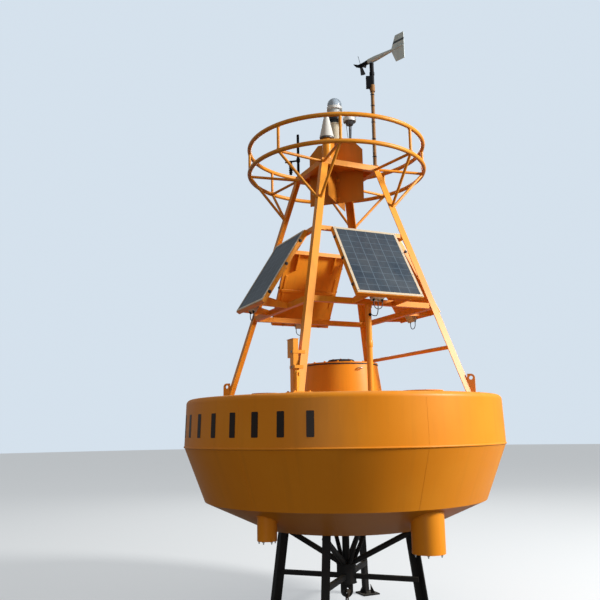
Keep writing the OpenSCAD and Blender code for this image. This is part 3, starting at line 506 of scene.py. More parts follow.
HANDLE_AT, HANDLE_BAR_R = turn(22) @ at(0.245, 0, LID_TOP), 0.006
STAPLE_Y, STAPLE_Z, STAPLE_BAR_R = -COAMING_TOP_R - 0.005, LID_Z - 0.05, 0.005
place_wire("hatch_handle", [[HANDLE_AT @ Vector((0, y, z)) for y, z in bent_bar(0.07, 0.036, 0.008)]],
           HANDLE_BAR_R, hull_paint, "hatch")
place_wire("hatch_staple", [[(x, STAPLE_Y - out, STAPLE_Z) for x, out in bent_bar(0.02, 0.03, 0.006)]],
           STAPLE_BAR_R, steel)
place_wire("coaming_weld", [circle_of(COAMING_R + 0.002, DECK_Z + 0.003, 96)], 0.006, hull_paint,
           closed=True)
HINGE_X, HINGE_Y, HINGE_Z = 0.152, 0.388, LID_Z + 0.022
PIN_HEAD = ((0, 0.006), (0.007, 0.006), (0.0095, 0.0035), (0.0095, 0), (0, 0))
pin_ends = bmesh.new()
for side in (-1, 1):
    turned(pin_ends, PIN_HEAD, aimed((side * HINGE_X, HINGE_Y, HINGE_Z), (side, 0, 0)), 24)
place_piece("hatch_pin_ends", pin_ends, steel)

# Tower: four steel angle bars leaning in from shoes on the deck, tied by two rings of square beams
# and one round bar, all welded, bolted at the shoes and sprayed the hull's colour.
LEG_FOOT_RHO, LEG_LEAN, LEG_W, LEG_T = 1.200, 0.35116, 0.066, 0.008
SHOE_TOP, SHOE_BOLT_OUT, LEG_WELD_R, BEAM_WELD_R = 1.944, 0.066, 0.004, 0.0035
# Height of the centre line and width of the lower and the upper beams
BEAMS = ((2.770, 0.050), (3.473, 0.040))


def leg_corner(z):
    """How far the outer corner of a leg is from the tower's middle, along x and along y."""
    return (LEG_FOOT_RHO - (z - DECK_Z) * LEG_LEAN) / sqrt(2) + LEG_W / 2


tower_paint = painted_steel("tower_paint", "E18A1A", "E79A30", chips=0.012, roughness=0.4, coat=0.12)
dress(tower_paint, "tower_legs", "leg_shoes", "lifting_lugs", "beams_upper", "beams_lower", "tie_bar",
      "platform", "rail_ring_upper", "rail_ring_lower", "rail_posts", "rail_spokes", "rail_struts",
      "panel_trays", "panel_brackets", "conduit_pipe", "riser_duct")
QUARTERS = ((-1, -1), (1, -1), (1, 1), (-1, 1))
shoe_bolts, leg_welds, beam_welds = bmesh.new(), [], []
shoe_middle, outer = leg_corner(DECK_Z) - LEG_W / 2, leg_corner(SHOE_TOP)
toe, inner = outer - LEG_W, outer - LEG_T
angle_outline = ((outer, outer), (toe, outer), (toe, inner), (inner, inner), (inner, toe), (outer, toe))
for sx, sy in QUARTERS:
    for bx, by in QUARTERS:
        spot = (sx * shoe_middle + bx * SHOE_BOLT_OUT, sy * shoe_middle + by * SHOE_BOLT_OUT, SHOE_TOP)
        hex_bolt(shoe_bolts, spot, UP, across_flats=0.016, height=0.009)
    leg_welds.append([(sx * x, sy * y, SHOE_TOP + 0.001) for x, y in angle_outline])
    for z, width in BEAMS:
        x, y = sx * (leg_corner(z) - LEG_W), sy * (leg_corner(z) - LEG_T)
        beam_welds.append([(x, y, z - width / 2), (x, y, z + width / 2)])
        beam_welds.append([(y, x, z - width / 2), (y, x, z + width / 2)])
place_piece("shoe_bolts", shoe_bolts, tower_paint)
place_wire("leg_welds", leg_welds, LEG_WELD_R, tower_paint, closed=True)
place_wire("beam_welds", beam_welds, BEAM_WELD_R, tower_paint)

# Platform and radar reflector: a steel plate on a square frame, with two upright steel plates that
# cross on it and two below, held by small angle cleats and bolts. The corners are bolted down.
# painted shade: the reflector's paint is the tower's orange made darker, as the reflector shows it in
# shade
reflector_shaded_paint = painted_steel("reflector_shaded_paint", "C4751A", "CF8630", chips=0.012, roughness=0.45,
                                coat=0.08)
dress(reflector_shaded_paint, "radar_reflector")
PLATFORM_Z, PLATE_T, CLEAT, CLEAT_T, CLEAT_CHAMFER = 4.230, 0.006, 0.034, 0.004, 0.0012
CLEAT_RISES = (0.04, 0.15, 0.27, -0.09, -0.29)
CORNER_BOLTS = ((0.245, 0.300), (0.300, 0.245))
FOOT_RHO, FOOT_L, FOOT_W, FOOT_RISE = 0.2, 0.05, 0.024, 0.03
cleats, cleat_bolts = bmesh.new(), bmesh.new()
for bearing in around(4):
    for z in CLEAT_RISES:
        for side in (-1, 1):
            place = (turn(bearing + side * 45)
                     @ at((PLATE_T + CLEAT) / 2, -side * (PLATE_T + CLEAT_T) / 2, PLATFORM_Z + z))
            block(cleats, (CLEAT, CLEAT_T, CLEAT), place, CLEAT_CHAMFER)
            hex_bolt(cleat_bolts, place @ Vector((0.003, -side * CLEAT_T / 2, 0)),
                     place.to_3x3() @ Vector((0, -side, 0)), across_flats=0.011, height=0.006)
    for side in (-1, 1):
        place = turn(bearing + 45) @ at(FOOT_RHO, side * (PLATE_T + FOOT_W) / 2, PLATFORM_Z + CLEAT_T / 2)
        block(cleats, (FOOT_L, FOOT_W, CLEAT_T), place, CLEAT_CHAMFER)
        block(cleats, (FOOT_L, CLEAT_T, FOOT_RISE), place @ at(0, -side * 0.01, 0.013), CLEAT_CHAMFER)
        hex_bolt(cleat_bolts, place @ Vector((0, side * 0.004, CLEAT_T / 2)), UP, 0.010, 0.005)
for sx, sy in QUARTERS:
    for x, y in CORNER_BOLTS:
        hex_bolt(cleat_bolts, (sx * x, sy * y, PLATFORM_Z), UP, across_flats=0.016, height=0.009)
place_piece("reflector_cleats", cleats, tower_paint)
place_piece("platform_bolts", cleat_bolts, tower_paint)

# Guard rail: two hoops of round bar on short posts, spokes and raking struts, with a weld collar
# where each post meets a hoop.
HOOP_R, HOOP_LOW_Z, HOOP_TOP_Z, HOOP_BAR_R = 0.886, 4.200, 4.458, 0.021
POST_R, POST_SWING, COLLAR_R, COLLAR_SINK = 0.014, 20, 0.0032, 0.001
rail_welds = []
for corner in around(4, 45):
    for swing in (-POST_SWING, POST_SWING):
        middle = polar(HOOP_R, corner + swing, 0).xy
        for z in (HOOP_LOW_Z + HOOP_BAR_R - COLLAR_SINK, HOOP_TOP_Z - HOOP_BAR_R + COLLAR_SINK):
            rail_welds.append(circle_of(POST_R + COLLAR_SINK, z, 20, middle))
place_wire("rail_welds", rail_welds, COLLAR_R, tower_paint, closed=True)

# Solar panels: four framed glass laminates in sprayed steel trays. The cells are blue-grey wafers
# in six columns of ten with fine printed lines, under dusty glass in an anodised frame.
PANEL_RHO, PANEL_Z, PANEL_LEAN = 0.744, 3.130, 31.8
GLASS_W, GLASS_H, GLASS_T, GLASS_Y, FRAME_Y, FRAME_LIP = 0.621, 0.765, 0.005, -0.0035, -0.006, 0.024
TRAY_W, TRAY_H, TRAY_D = 0.680, 0.824, 0.038
CELL_COLUMNS, CELL_ROWS, BARS_A_CELL, FINGERS_A_CELL = 6, 10, 3, 20
CELL_DARK, CELL_PALE, CELL_CLOUDY, FINGER, BUSBAR, GAP, DUST_FILM = (
    "222D39", "2D3945", "36424C", "5E6C78", "17212D", "728391", "8A867E")


def on_panel(side):
    """Places a shape drawn upright, facing -Y, on the face of the panel on that side."""
    return turn(side) @ at(0, -PANEL_RHO, PANEL_Z) @ turn(-PANEL_LEAN, "X")


cells, cell_tree, cell_shader, cell_at = bare_material("solar_cells")
cell_u, cell_v, _ = node(cell_tree, "SeparateXYZ", {0: cell_at["UV"]}).outputs


def stripes(value, count, width):
    """1 on lines of that width, as a share of their spacing, count times over a 0 to 1 value."""
    wave = sums(cell_tree, "FRACT", times(cell_tree, value, float(count)))
    away = sums(cell_tree, "ABSOLUTE", sums(cell_tree, "SUBTRACT", wave, 0.5))
    return spread(cell_tree, away, 0.5 - width / 2 - 0.01, 0.5 - width / 2 + 0.01)


gaps = sums(cell_tree, "MAXIMUM", stripes(cell_u, CELL_COLUMNS, 0.06), stripes(cell_v, CELL_ROWS, 0.05))
bars = stripes(cell_u, CELL_COLUMNS * BARS_A_CELL, 0.05)
fingers = stripes(cell_v, CELL_ROWS * FINGERS_A_CELL, 0.25)
grains = node(cell_tree, "TexVoronoi", {"Vector": cell_at["Object"], "Scale": 34.0})
cell_tone = blended(cell_tree, grains.outputs["Color"], CELL_DARK, CELL_PALE)
cloudy = spread(cell_tree, cloud(cell_tree, cell_at["Object"], 4, 3), 0.35, 0.65, 0, 0.5)
cell_tone = blended(cell_tree, cloudy, cell_tone, CELL_CLOUDY)
for mask, share, tone in ((fingers, 0.12, FINGER), (bars, 0.5, BUSBAR), (gaps, 0.45, GAP)):
    cell_tone = blended(cell_tree, times(cell_tree, mask, share), cell_tone, tone)
FILM_MOST = 0.13
film = spread(cell_tree, cloud(cell_tree, cell_at["Object"], 3.5, 5, 0.7), 0.35, 0.75, 0.0, FILM_MOST)
feed(cell_tree, cell_shader, {
    "Base Color": blended(cell_tree, film, cell_tone, DUST_FILM),
    "Roughness": spread(cell_tree, film, 0, FILM_MOST, 0.36, 0.52),
    "Specular IOR Level": 0.3, "Coat Weight": 0.03, "Coat Roughness": 0.2})
cell_sheets = bmesh.new()
uv_layer = cell_sheets.loops.layers.uv.new("sheet")
for side in around(4):
    place = on_panel(side) @ at(0, GLASS_Y + GLASS_T / 2, 0)
    corners = slab(cell_sheets, (GLASS_W, GLASS_T, GLASS_H), place)
    back = place.inverted()
    for face in {face for corner in corners for face in corner.link_faces}:
        for loop in face.loops:
            spot = back @ loop.vert.co
            loop[uv_layer].uv = (spot.x / GLASS_W + 0.5, spot.z / GLASS_H + 0.5)
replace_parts(place_piece("solar_laminates", cell_sheets, cells), "solar_glass")

anodised, trim_tree, trim_shader, trim_at = bare_material("anodised_frame")
brush = cloud(trim_tree, stretched(trim_tree, trim_at["Object"], (300, 300, 6)), 1, 3)
stain = spread(trim_tree, cloud(trim_tree, trim_at["Object"], 9, 5, 0.7), 0.5, 0.8)
trim_tone = blended(trim_tree, brush, "CDB99C", "DCCBB0")
feed(trim_tree, trim_shader, {
    "Base Color": blended(trim_tree, times(trim_tree, stain, 0.5), trim_tone, "9C8058"),
    "Roughness": spread(trim_tree, stain, 0, 1, 0.4, 0.6),
    "Metallic": spread(trim_tree, stain, 0, 1, 0.25, 0.1)})
dress(anodised, "solar_panels")

# Panel fittings: screws in the frame, dark clip bolts in the tray's sides, a stiffening rib and a
# pale plastic junction box on the tray's back, with two cable glands in the box's lower end.
BOX_W, BOX_D, BOX_H, BOX_ALONG, BOX_LIP = 0.115, 0.048, 0.075, -0.375, 0.008
GLAND_X, GLAND_DROP, GLAND_DEPTH = 0.043, 0.016, TRAY_D + BOX_D * 0.6
PANEL_BOXES = {0: -0.105, 90: 0.075, 180: 0.02, 270: -0.06}
RIM_X, RIM_Z = (GLASS_W + FRAME_LIP) / 2, (GLASS_H + FRAME_LIP) / 2
SCREW_SHARES, CLIP_HEIGHTS = (-0.97, -0.35, 0.35, 0.97), (-0.30, 0.02, 0.29)
FRAME_SCREW_R, FRAME_SCREW_TOP_R, FRAME_SCREW_H = 0.0052, 0.004, 0.0022
RIB_T, RIB_H, SIDE_RIB_X, SIDE_RIB_W, SIDE_RIB_T = 0.012, 0.030, 0.295, 0.024, 0.008


def gland_mouth(side, end):
    """Where a cable leaves the junction box of a panel, at its left (-1), middle or right end."""
    return on_panel(side) @ Vector((PANEL_BOXES[side] + end * GLAND_X, GLAND_DEPTH, BOX_ALONG - BOX_H / 2))


screws, clips, ribs, boxes, glands = (bmesh.new() for _ in range(5))
for side, box_x in PANEL_BOXES.items():
    place = on_panel(side)
    along = place.to_3x3() @ Vector((1, 0, 0))
    block(ribs, (TRAY_W - 0.03, RIB_T, RIB_H), place @ at(0, TRAY_D + RIB_T / 2, 0), 0.003)
    block(boxes, (BOX_W, BOX_D, BOX_H), place @ at(box_x, TRAY_D + BOX_D / 2, BOX_ALONG), 0.006, 3)
    block(boxes, (BOX_W + BOX_LIP, 0.007, BOX_H + BOX_LIP), place @ at(box_x, TRAY_D + BOX_D, BOX_ALONG),
          0.0025, 2)
    for x in (-1, 1):
        for z in SCREW_SHARES:
            foot = Vector((x * RIM_X, FRAME_Y, z * RIM_Z))
            rod(screws, place @ foot, place @ (foot - Vector((0, FRAME_SCREW_H, 0))), FRAME_SCREW_R, 12,
                FRAME_SCREW_TOP_R)
        for z in CLIP_HEIGHTS:
            hex_bolt(clips, place @ Vector((x * TRAY_W / 2, TRAY_D * 0.45, z)), along * x, 0.017, 0.010)
        block(ribs, (SIDE_RIB_W, SIDE_RIB_T, TRAY_H * 0.42),
              place @ at(x * SIDE_RIB_X, TRAY_D + SIDE_RIB_T / 2, 0), 0.002)
        mouth = gland_mouth(side, x)
        rod(glands, mouth + UP * 0.012, mouth - UP * 0.006, 0.011, 12)
        rod(glands, mouth - UP * 0.006, mouth - UP * GLAND_DROP, 0.0095, 6, 0.007)

BAND_EDGE, GRIME_SHARE = 0.0008, 0.22


def moulded(name, colour, faded, roughness, coat, grime="7D7768", bands=(), gloss=0.5):
    """Moulded plastic: a fine grain, yellowed patches and streaks of grime. Each band has the height
    from which its colour begins."""
    material, tree, shader, at_point = bare_material(name)
    worn_and_shaded = weathered_and_shaded(tree, at_point, 0.0)
    tint = blended(tree, worn_and_shaded["Mottle"], colour, faded)
    height = node(tree, "SeparateXYZ", {0: at_point["Object"]}).outputs[2]
    for low, code in bands:
        tint = blended(tree, spread(tree, height, low - BAND_EDGE, low + BAND_EDGE), tint, code)
    feed(tree, shader, {
        "Base Color": blended(tree, times(tree, worn_and_shaded["Streak"], GRIME_SHARE), tint, grime),
        "Roughness": spread(tree, worn_and_shaded["Mottle"], 0, 1, roughness, roughness + 0.12),
        "Normal": grainy(tree, worn_and_shaded["Peel"], strength=0.1, depth=0.0006),
        "Specular IOR Level": gloss, "Coat Weight": coat, "Coat Roughness": 0.15})
    return material


box_plastic = moulded("box_plastic", "C6C6C2", "B4B1A6", 0.45, coat=0.05)
black_moulding = moulded("black_moulding", "08090C", "0F1013", 0.5, grime="1E1C1A", coat=0.0,
                         gloss=0.15)
place_piece("panel_screws", screws, steel)
place_piece("tray_clip_bolts", clips, rubber)
place_piece("tray_ribs", ribs, tower_paint)
place_piece("junction_boxes", boxes, box_plastic)
place_piece("junction_glands", glands, black_moulding)

# Panel cables: a short loop of black rubber cable hangs from each junction box, out of one gland
# and back into the other, and one more runs from the front box to the conduit pipe.
CABLE_D, LOOP_DROP, GLAND_GRIP = 0.008, 0.026, 0.002
cable_sheath = moulded("cable_sheath", "1A1A1C", "2A2A2C", 0.5, grime="4A463E", coat=0.05)


def free_cable(name, points):
    """A free cable as a curve of one open spline."""
    cable = place_wire(name, [points], CABLE_D / 2, cable_sheath)


for side in PANEL_BOXES:
    start, end = (gland_mouth(side, x) - UP * (GLAND_DROP - GLAND_GRIP) for x in (-1, 1))
    half, middle = (end - start) / 2, (start + end) / 2 - UP * LOOP_DROP
    down = [UP * (-LOOP_DROP * i / 4) for i in range(4)]
    bow = [middle - half * cos(pi * i / 16) - UP * (half.length * sin(pi * i / 16)) for i in range(17)]
    free_cable(f"panel_cable_{side}", [start + d for d in down] + bow + [end + d for d in reversed(down)])

# Conduit and riser duct: a steel pipe that takes the cables from the deck to the front beam, with
# a bolted collar and a screwed coupling, and a sheet-steel duct strapped behind the front left leg.
CONDUIT_AT, CONDUIT_R, COLLAR_TOP, COLLAR_BOLT_RHO = Vector((-0.050, -0.640, 0)), 0.027, 1.964, 0.0405
# Lower end, upper end and wall of the coupling and of the clamp under the beam
SLEEVES = ((2.36, 2.42, 0.0045), (2.715, 2.745, 0.006))
SLEEVE_SINK, SLEEVE_IN, SLEEVE_RISE = 0.002, 0.0015, 0.003
DUCT_LEFT, DUCT_RIGHT, DUCT_FRONT, DUCT_H = -0.8706, -0.8246, -0.7986, 0.455
STRAP_H, STRAP_SHARES, CAP_D, CAP_T, CAP_LIP = 0.026, (0.46, 0.74), 0.125, 0.005, 0.010
conduit_bolts, conduit_sleeves = bmesh.new(), bmesh.new()
for way in around(4, 45):
    hex_bolt(conduit_bolts, polar(COLLAR_BOLT_RHO, way, COLLAR_TOP) + CONDUIT_AT, UP, 0.010, 0.006)
for low, high, wall in SLEEVES:
    outside, inside = CONDUIT_R + wall, CONDUIT_R - SLEEVE_SINK
    turned(conduit_sleeves, ((inside, low), (outside - SLEEVE_IN, low), (outside, low + SLEEVE_RISE),
                             (outside, high - SLEEVE_RISE), (outside - SLEEVE_IN, high), (inside, high)),
           at(*CONDUIT_AT), 40, closed=True)
for share in STRAP_SHARES:
    z = DECK_Z + share * DUCT_H + STRAP_H / 2
    hex_bolt(conduit_bolts, (DUCT_LEFT - 0.005, DUCT_FRONT + 0.02, z), (-1, 0, 0), 0.013, 0.007)
block(conduit_sleeves, (DUCT_RIGHT - DUCT_LEFT + CAP_LIP, CAP_D, CAP_T),
      at((DUCT_LEFT + DUCT_RIGHT) / 2 - 0.001, DUCT_FRONT + 0.059, DECK_Z + DUCT_H + CAP_T / 2), 0.0015)
place_piece("conduit_bolts", conduit_bolts, steel)
place_piece("conduit_sleeves", conduit_sleeves, tower_paint)
FEED_AT, FEED_OUT = CONDUIT_AT + Vector((0, -CONDUIT_R, 2.650)), Vector((0, -1, 0))
conduit_gland = bmesh.new()
rod(conduit_gland, FEED_AT - FEED_OUT * 0.008, FEED_AT + FEED_OUT * 0.020, 0.011, 6, 0.009)
rod(conduit_gland, FEED_AT - FEED_OUT * 0.004, FEED_AT + FEED_OUT * 0.006, 0.014)
place_piece("conduit_gland", conduit_gland, black_moulding)
FEED_DROP, FEED_PULL, FEED_STEPS = 0.15, Vector((0, 0.11, 0.045)), 24
feed_start, feed_end = gland_mouth(0, 0), FEED_AT + FEED_OUT * 0.018
pulls = (feed_start, feed_start - UP * FEED_DROP, feed_end - FEED_PULL, feed_end)
run = []
for i in range(FEED_STEPS + 1):
    t = i / FEED_STEPS
    shares = ((1 - t) ** 3, 3 * t * (1 - t) ** 2, 3 * t * t * (1 - t), t ** 3)
    run.append(sum((pull * share for pull, share in zip(pulls, shares)), Vector()))
free_cable("conduit_cable", run)

# Lantern: a cream plastic housing on the reflector's top, with a dark ribbed lens band, a white
# ring and a silvered dome, fixed by screws round its base.
LENS_LOW, LENS_H, LENS_RHO, LENS_RIBS, LENS_RIB_R = 4.750, 0.076, 0.0645, 28, 0.0022
LENS_HOOP = ((0.058, 4.786), (0.0680, 4.786), (0.0685, 4.788), (0.0680, 4.790), (0.058, 4.790))
# Height, radius and number of the screws in the base, the lens ring and the dome's ring
LANTERN_SCREWS = ((4.565, 0.0802, 8), (4.740, 0.0742, 6), (4.924, 0.0802, 6))
lantern_shell = moulded("lantern_shell", "D9CFB8", "CDC2A6", 0.3, coat=0.3,
                        bands=((4.749, "24282C"), (4.8265, "C9CCCB"), (4.908, "E4E4E0"),
                               (4.9385, "A9B8C6")))
dress(lantern_shell, "lantern")
lantern_ribs, lantern_screws = bmesh.new(), bmesh.new()
for way in around(LENS_RIBS):
    foot = polar(LENS_RHO, way, LENS_LOW)
    rod(lantern_ribs, foot, foot + UP * LENS_H, LENS_RIB_R, 8)
turned(lantern_ribs, LENS_HOOP, at(0, 0, 0), 64, closed=True)
for z, radius, count in LANTERN_SCREWS:
    for way in around(count, 20):
        rod(lantern_screws, polar(radius, way, z), polar(radius + 0.003, way, z), 0.0045, 12, 0.0036)
place_piece("lantern_ribs", lantern_ribs, black_moulding)
place_piece("lantern_screws", lantern_screws, steel)

# Beacon and dome aerial: grey-white plastic mouldings with painted shade on their undersides. The
# beacon stands on a bolted steel tube, the aerial on a stem with three wire stays from its brass-yellow
# foot.
BEACON_AT, BEACON_BOLTS = Vector((-0.235, -0.262, 0)), 6
BEACON_FOOT_TOP, FOOT_BOLT_RHO, BEACON_RIM_Z, BEACON_RIM_R = 4.238, 0.0508, 4.456, 0.0655
AERIAL_AT, STAYS, STAY_R = Vector((0.1117, -0.1117, 0)), 3, 0.0022
# Distance from the stem and height of a stay's two ends
STAY_ENDS = ((0.018, 4.561), (0.036, 4.722))
# painted shade: the beacon is dark grey below its rim, where its underside is in shade
beacon_shell = moulded("beacon_shell", "4A4B4A", "3E3E3C", 0.35, coat=0.25, bands=((4.4625, "CFCDC6"),))
dress(beacon_shell, "beacon")
dress(tower_paint, "beacon_foot")
beacon_bolts = bmesh.new()
for way in around(BEACON_BOLTS):
    hex_bolt(beacon_bolts, polar(FOOT_BOLT_RHO, way, BEACON_FOOT_TOP) + BEACON_AT, UP, 0.008, 0.005,
             washer=False)
    spot = polar(BEACON_RIM_R, way, BEACON_RIM_Z) + BEACON_AT
    rod(beacon_bolts, spot, spot + polar(0.0028, way, 0), 0.004, 10)
place_piece("beacon_bolts", beacon_bolts, steel)
# painted shade: the aerial is dark from just above its foot, up the stem to the underside of its cap
aerial_shell = moulded("aerial_shell", "8E8230", "7C7228", 0.35, coat=0.3,
                       bands=((4.5625, "35363A"), (4.7545, "E2E2DE")))
dress(aerial_shell, "aerial")
stays = [[AERIAL_AT + polar(rho, way, z) for rho, z in STAY_ENDS] for way in around(STAYS, 40)]
place_wire("aerial_stays", stays, STAY_R, black_moulding)

# Thin post: a black fibre rod aerial with a side arm, from which a small ribbed probe hangs, held
# by a clamp ring at the arm.
POST_AT, ARM_WAY, ARM_L = Vector((-0.2913, 0.2913, 0)), 135, 0.084
CLAMP_RING = ((0.012, 4.405), (0.019, 4.405), (0.020, 4.408), (0.020, 4.440), (0.019, 4.443),
              (0.012, 4.443))
PROBE_LOW, PROBE_RIBS, PROBE_PITCH = 4.300, 5, 0.020
PROBE_RIB = ((0.012, 0), (0.0205, 0.002), (0.0215, 0.005), (0.012, 0.008))
POST_TIP = ((0, 4.701), (0.0135, 4.701), (0.011, 4.709), (0, 4.713))
dress(black_moulding, "thin_post")
post_rings = bmesh.new()
turned(post_rings, CLAMP_RING, at(*POST_AT), 24, closed=True)
probe = at(*(POST_AT + polar(ARM_L, ARM_WAY, 0)))
for i in range(PROBE_RIBS):
    low = PROBE_LOW + i * PROBE_PITCH
    turned(post_rings, [(r, low + rise) for r, rise in PROBE_RIB], probe, 28, closed=True)
turned(post_rings, POST_TIP, at(*POST_AT), 24)
place_piece("post_rings", post_rings, black_moulding)

# Wind mast: a painted steel pipe with a screwed coupling near its top. A black cable is held along
# it by plastic bands, and goes into the terminal box under the wind sensor.
MAST_AT, MAST_R, MAST_TOP, CABLE_WAY, MAST_CABLE_R = Vector((0.2913, -0.2913, 0)), 0.017, 5.113, 190, 0.004
BAND_HEIGHTS, BAND_H, BAND_SINK, BAND_T = (4.33, 4.52, 4.70, 4.88, 5.00), 0.010, 0.001, 0.0016
BAND_BUCKLE, BUCKLE_OUT = (0.010, 0.012, 0.008), 0.0055
CABLE_LOW, CABLE_STEP, CABLE_STEPS = 4.24, 0.079, 11
# painted shade: the mast's orange paint is set as the dull brown it shows in shade
mast_shaded_paint = painted_steel("mast_shaded_paint", "8E6232", "A4784A", chips=0.06, roughness=0.55)
dress(mast_shaded_paint, "wind_mast")
mast, mast_bands = at(*MAST_AT), bmesh.new()
for z in BAND_HEIGHTS:
    ring(mast_bands, MAST_R - BAND_SINK, MAST_R + BAND_T, z, z + BAND_H, mast, 32)
    buckle = mast @ turn(CABLE_WAY) @ at(MAST_R + BUCKLE_OUT, 0, z + BAND_H / 2)
    block(mast_bands, BAND_BUCKLE, buckle, 0.001)
place_piece("mast_bands", mast_bands, black_moulding)
mast_cable = [MAST_AT + polar(MAST_R + 0.0045, CABLE_WAY, CABLE_LOW + i * CABLE_STEP)
              for i in range(CABLE_STEPS)]
mast_cable += [MAST_AT + polar(0.030, 180, 5.06), MAST_AT + polar(0.040, 165, 5.088)]
place_wire("mast_cable", [mast_cable], MAST_CABLE_R, cable_sheath)

# Wind sensor: a black socket and terminal box, and a grey-green body with a tail fin that turns on
# it. A dark stripe crosses the fin. The black propeller turns on the body's nose.
SENSOR_Z, SENSOR_WAY = 5.390, 109
BOX_WAY, BOX_FACE, BOX_SCREW_YS, BOX_SCREW_ZS = 152, 0.063, (-0.016, 0.016), (-0.020, 0.087)
FIN_SCREW_XS, FIN_SCREW_Z, FIN_HALF_T = (-0.395, -0.350), 0.016, 0.0015
NECK_RING = (0.0195, 0.0215, -0.012, 0.0)
NOSE_CAP = ((0, 0.0425), (0.006, 0.0415), (0.0096, 0.0375), (0.0098, 0.031), (0, 0.031))
dress(black_moulding, "wind_socket", "vane_nose", "propeller")
sensor_shell = moulded("sensor_shell", "D6DFDD", "CCD5CF", 0.4, coat=0.05,
                       bands=((5.447, "4C5254"), (5.470, "D2DCDA")))
dress(sensor_shell, "vane_body")
box_screws, vane_screws, nose_cap = bmesh.new(), bmesh.new(), bmesh.new()
for y in BOX_SCREW_YS:
    for z in BOX_SCREW_ZS:
        spot = mast @ turn(BOX_WAY) @ Vector((BOX_FACE, y, MAST_TOP + z))
        rod(box_screws, spot, spot + polar(0.002, BOX_WAY, 0), 0.0035, 10)
sensor = mast @ at(0, 0, SENSOR_Z) @ turn(SENSOR_WAY)
for x in FIN_SCREW_XS:
    for side in (-1, 1):
        rod(vane_screws, sensor @ Vector((x, side * FIN_HALF_T, FIN_SCREW_Z)),
            sensor @ Vector((x, side * (FIN_HALF_T + 0.003), FIN_SCREW_Z)), 0.004, 10)
ring(vane_screws, *NECK_RING, sensor @ at(0, 0, -0.020), 32)
turned(nose_cap, NOSE_CAP, sensor @ at(0.147, 0, 0) @ turn(90, "Y"), 24)
place_piece("terminal_box_screws", box_screws, steel)
place_piece("vane_screws", vane_screws, steel, "vane")
place_piece("propeller_cap", nose_cap, black_moulding, "rotor")

# Under-frame: angle-iron legs, radial struts, diagonals and a central hub that ends in a mooring
# eye, painted dull black, dusty and spotted with rust, with gussets at its feet.
FOOT_TOP, GUSSET_RHO = 0.014, 0.703
GUSSET_IN, GUSSET_OUT, GUSSET_H, GUSSET_T = 0.036, 0.082, 0.085, 0.008
# Radius, height and number of points of the welds round the hub and at the hull's bottom
HUB_WELDS = ((0.0915, 0.251, 48), (0.0915, 0.419, 48), (0.036, 0.7685, 32))
STAND_WELD_R = 0.004
# painted shade: the frame's faces that point down are darkened to near black
stand_paint = painted_steel("stand_paint", "19191A", "262524", chips=0.05, roughness=0.6,
                            dirt="4A3A2C", dust="77705F", shade_below_tone="0E0E0E", coat=0.0, dusty=0.6)
dress(stand_paint, "stand_legs", "stand_feet", "stand_struts", "stand_diagonals", "stand_fan",
      "stand_column", "mooring_eye")
gussets = bmesh.new()
for corner in around(4, 45):
    for turned_by in (-90, 90):
        foot = turn(corner) @ at(GUSSET_RHO, 0, FOOT_TOP) @ turn(turned_by)
        corners = [gussets.verts.new(foot @ Vector((x, -GUSSET_T / 2, z))) for x, z in
                   ((GUSSET_IN, 0), (GUSSET_OUT, 0), (GUSSET_IN, GUSSET_H))]
        raised = bmesh.ops.extrude_face_region(gussets, geom=[gussets.faces.new(corners)])["geom"]
        bmesh.ops.translate(gussets, verts=[v for v in raised if isinstance(v, bmesh.types.BMVert)],
                            vec=foot.to_3x3() @ Vector((0, GUSSET_T, 0)))
place_piece("stand_gussets", gussets, stand_paint)
place_wire("stand_welds", [circle_of(*weld) for weld in HUB_WELDS], STAND_WELD_R, stand_paint,
           closed=True)

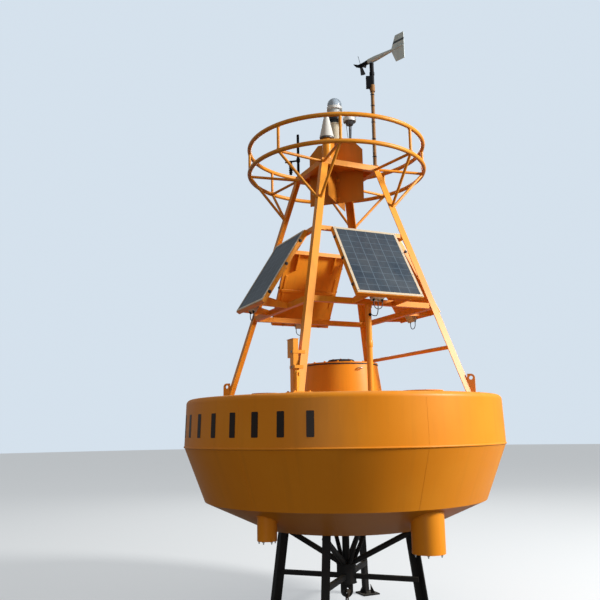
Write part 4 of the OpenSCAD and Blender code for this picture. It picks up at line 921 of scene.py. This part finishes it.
# Mooring: a galvanised bow shackle through the eye and the first links of its chain, which lie on
# the ground.
EYE_Z, SHACKLE_HALF, BOW_R, BOW_TOP, BOW_LOW, BOW_DEPTH = 0.176, 0.030, 0.0095, 0.004, 0.022, 0.036
PIN_R, PIN_HALF, BOSS_R, BOSS_HALF = 0.0115, 0.040, 0.019, 0.009
chain_steel = painted_steel("chain_steel", "54504A", "6A5A48", chips=0.16, roughness=0.6, dust="8A7A62",
                            dirt="5A3A22", coat=0.0)
bow = [(0, -SHACKLE_HALF * cos(pi * i / 14), EYE_Z - BOW_LOW - BOW_DEPTH * sin(pi * i / 14))
       for i in range(15)]
place_wire("mooring_shackle", [[(0, -SHACKLE_HALF, EYE_Z + BOW_TOP)] + bow
                               + [(0, SHACKLE_HALF, EYE_Z + BOW_TOP)]], BOW_R, chain_steel)
pin = bmesh.new()
rod(pin, (0, -PIN_HALF, EYE_Z), (0, PIN_HALF, EYE_Z), PIN_R, 20)
hex_bolt(pin, (0, PIN_HALF, EYE_Z), (0, 1, 0), across_flats=0.026, height=0.012, washer=False)
for y in (-SHACKLE_HALF, SHACKLE_HALF):
    rod(pin, (0, y - BOSS_HALF, EYE_Z), (0, y + BOSS_HALF, EYE_Z), BOSS_R, 20)
place_piece("mooring_pin", pin, chain_steel)
CHAIN_R, LINK_L, LINK_W = 0.0075, 0.092, 0.052
LINK_PITCH, HUNG_Z = LINK_L - 4 * CHAIN_R, EYE_Z - 0.047
FIRST_WAY, WAY_STEP, CHAIN_FROM, CHAIN_LINKS, LINK_ROLL = 178, 9, -0.036, 6, 45
# Lift and tip of the link that leans on the hanging one, and of those on the ground
LEANING, LYING = (0.046, 38), (0.0215, 0)


def link(place):
    """The centre line of one chain link, lying along X in its place."""
    half, radius = (LINK_L - LINK_W) / 2, LINK_W / 2 - CHAIN_R
    ends = [(x, pi * (i / 10 - 0.5) + (0 if x > 0 else pi)) for x in (half, -half) for i in range(11)]
    return [place @ Vector((x + radius * cos(a), radius * sin(a), 0)) for x, a in ends]


links = [link(at(0, 0, HUNG_Z - LINK_L / 2 + 2 * CHAIN_R) @ turn(90, "Y"))]
end_at = at(CHAIN_FROM, 0, 0)
for i in range(CHAIN_LINKS):
    lift, tip = LYING if i else LEANING
    way, roll = FIRST_WAY + WAY_STEP * i, LINK_ROLL if i % 2 else -LINK_ROLL
    lying = end_at @ turn(way)
    links.append(link(lying @ at(0, 0, lift) @ turn(tip, "Y") @ turn(roll, "X")))
    end_at = lying @ at(LINK_PITCH, 0, 0) @ turn(-way)
place_wire("mooring_chain", links, CHAIN_R, chain_steel, closed=True)
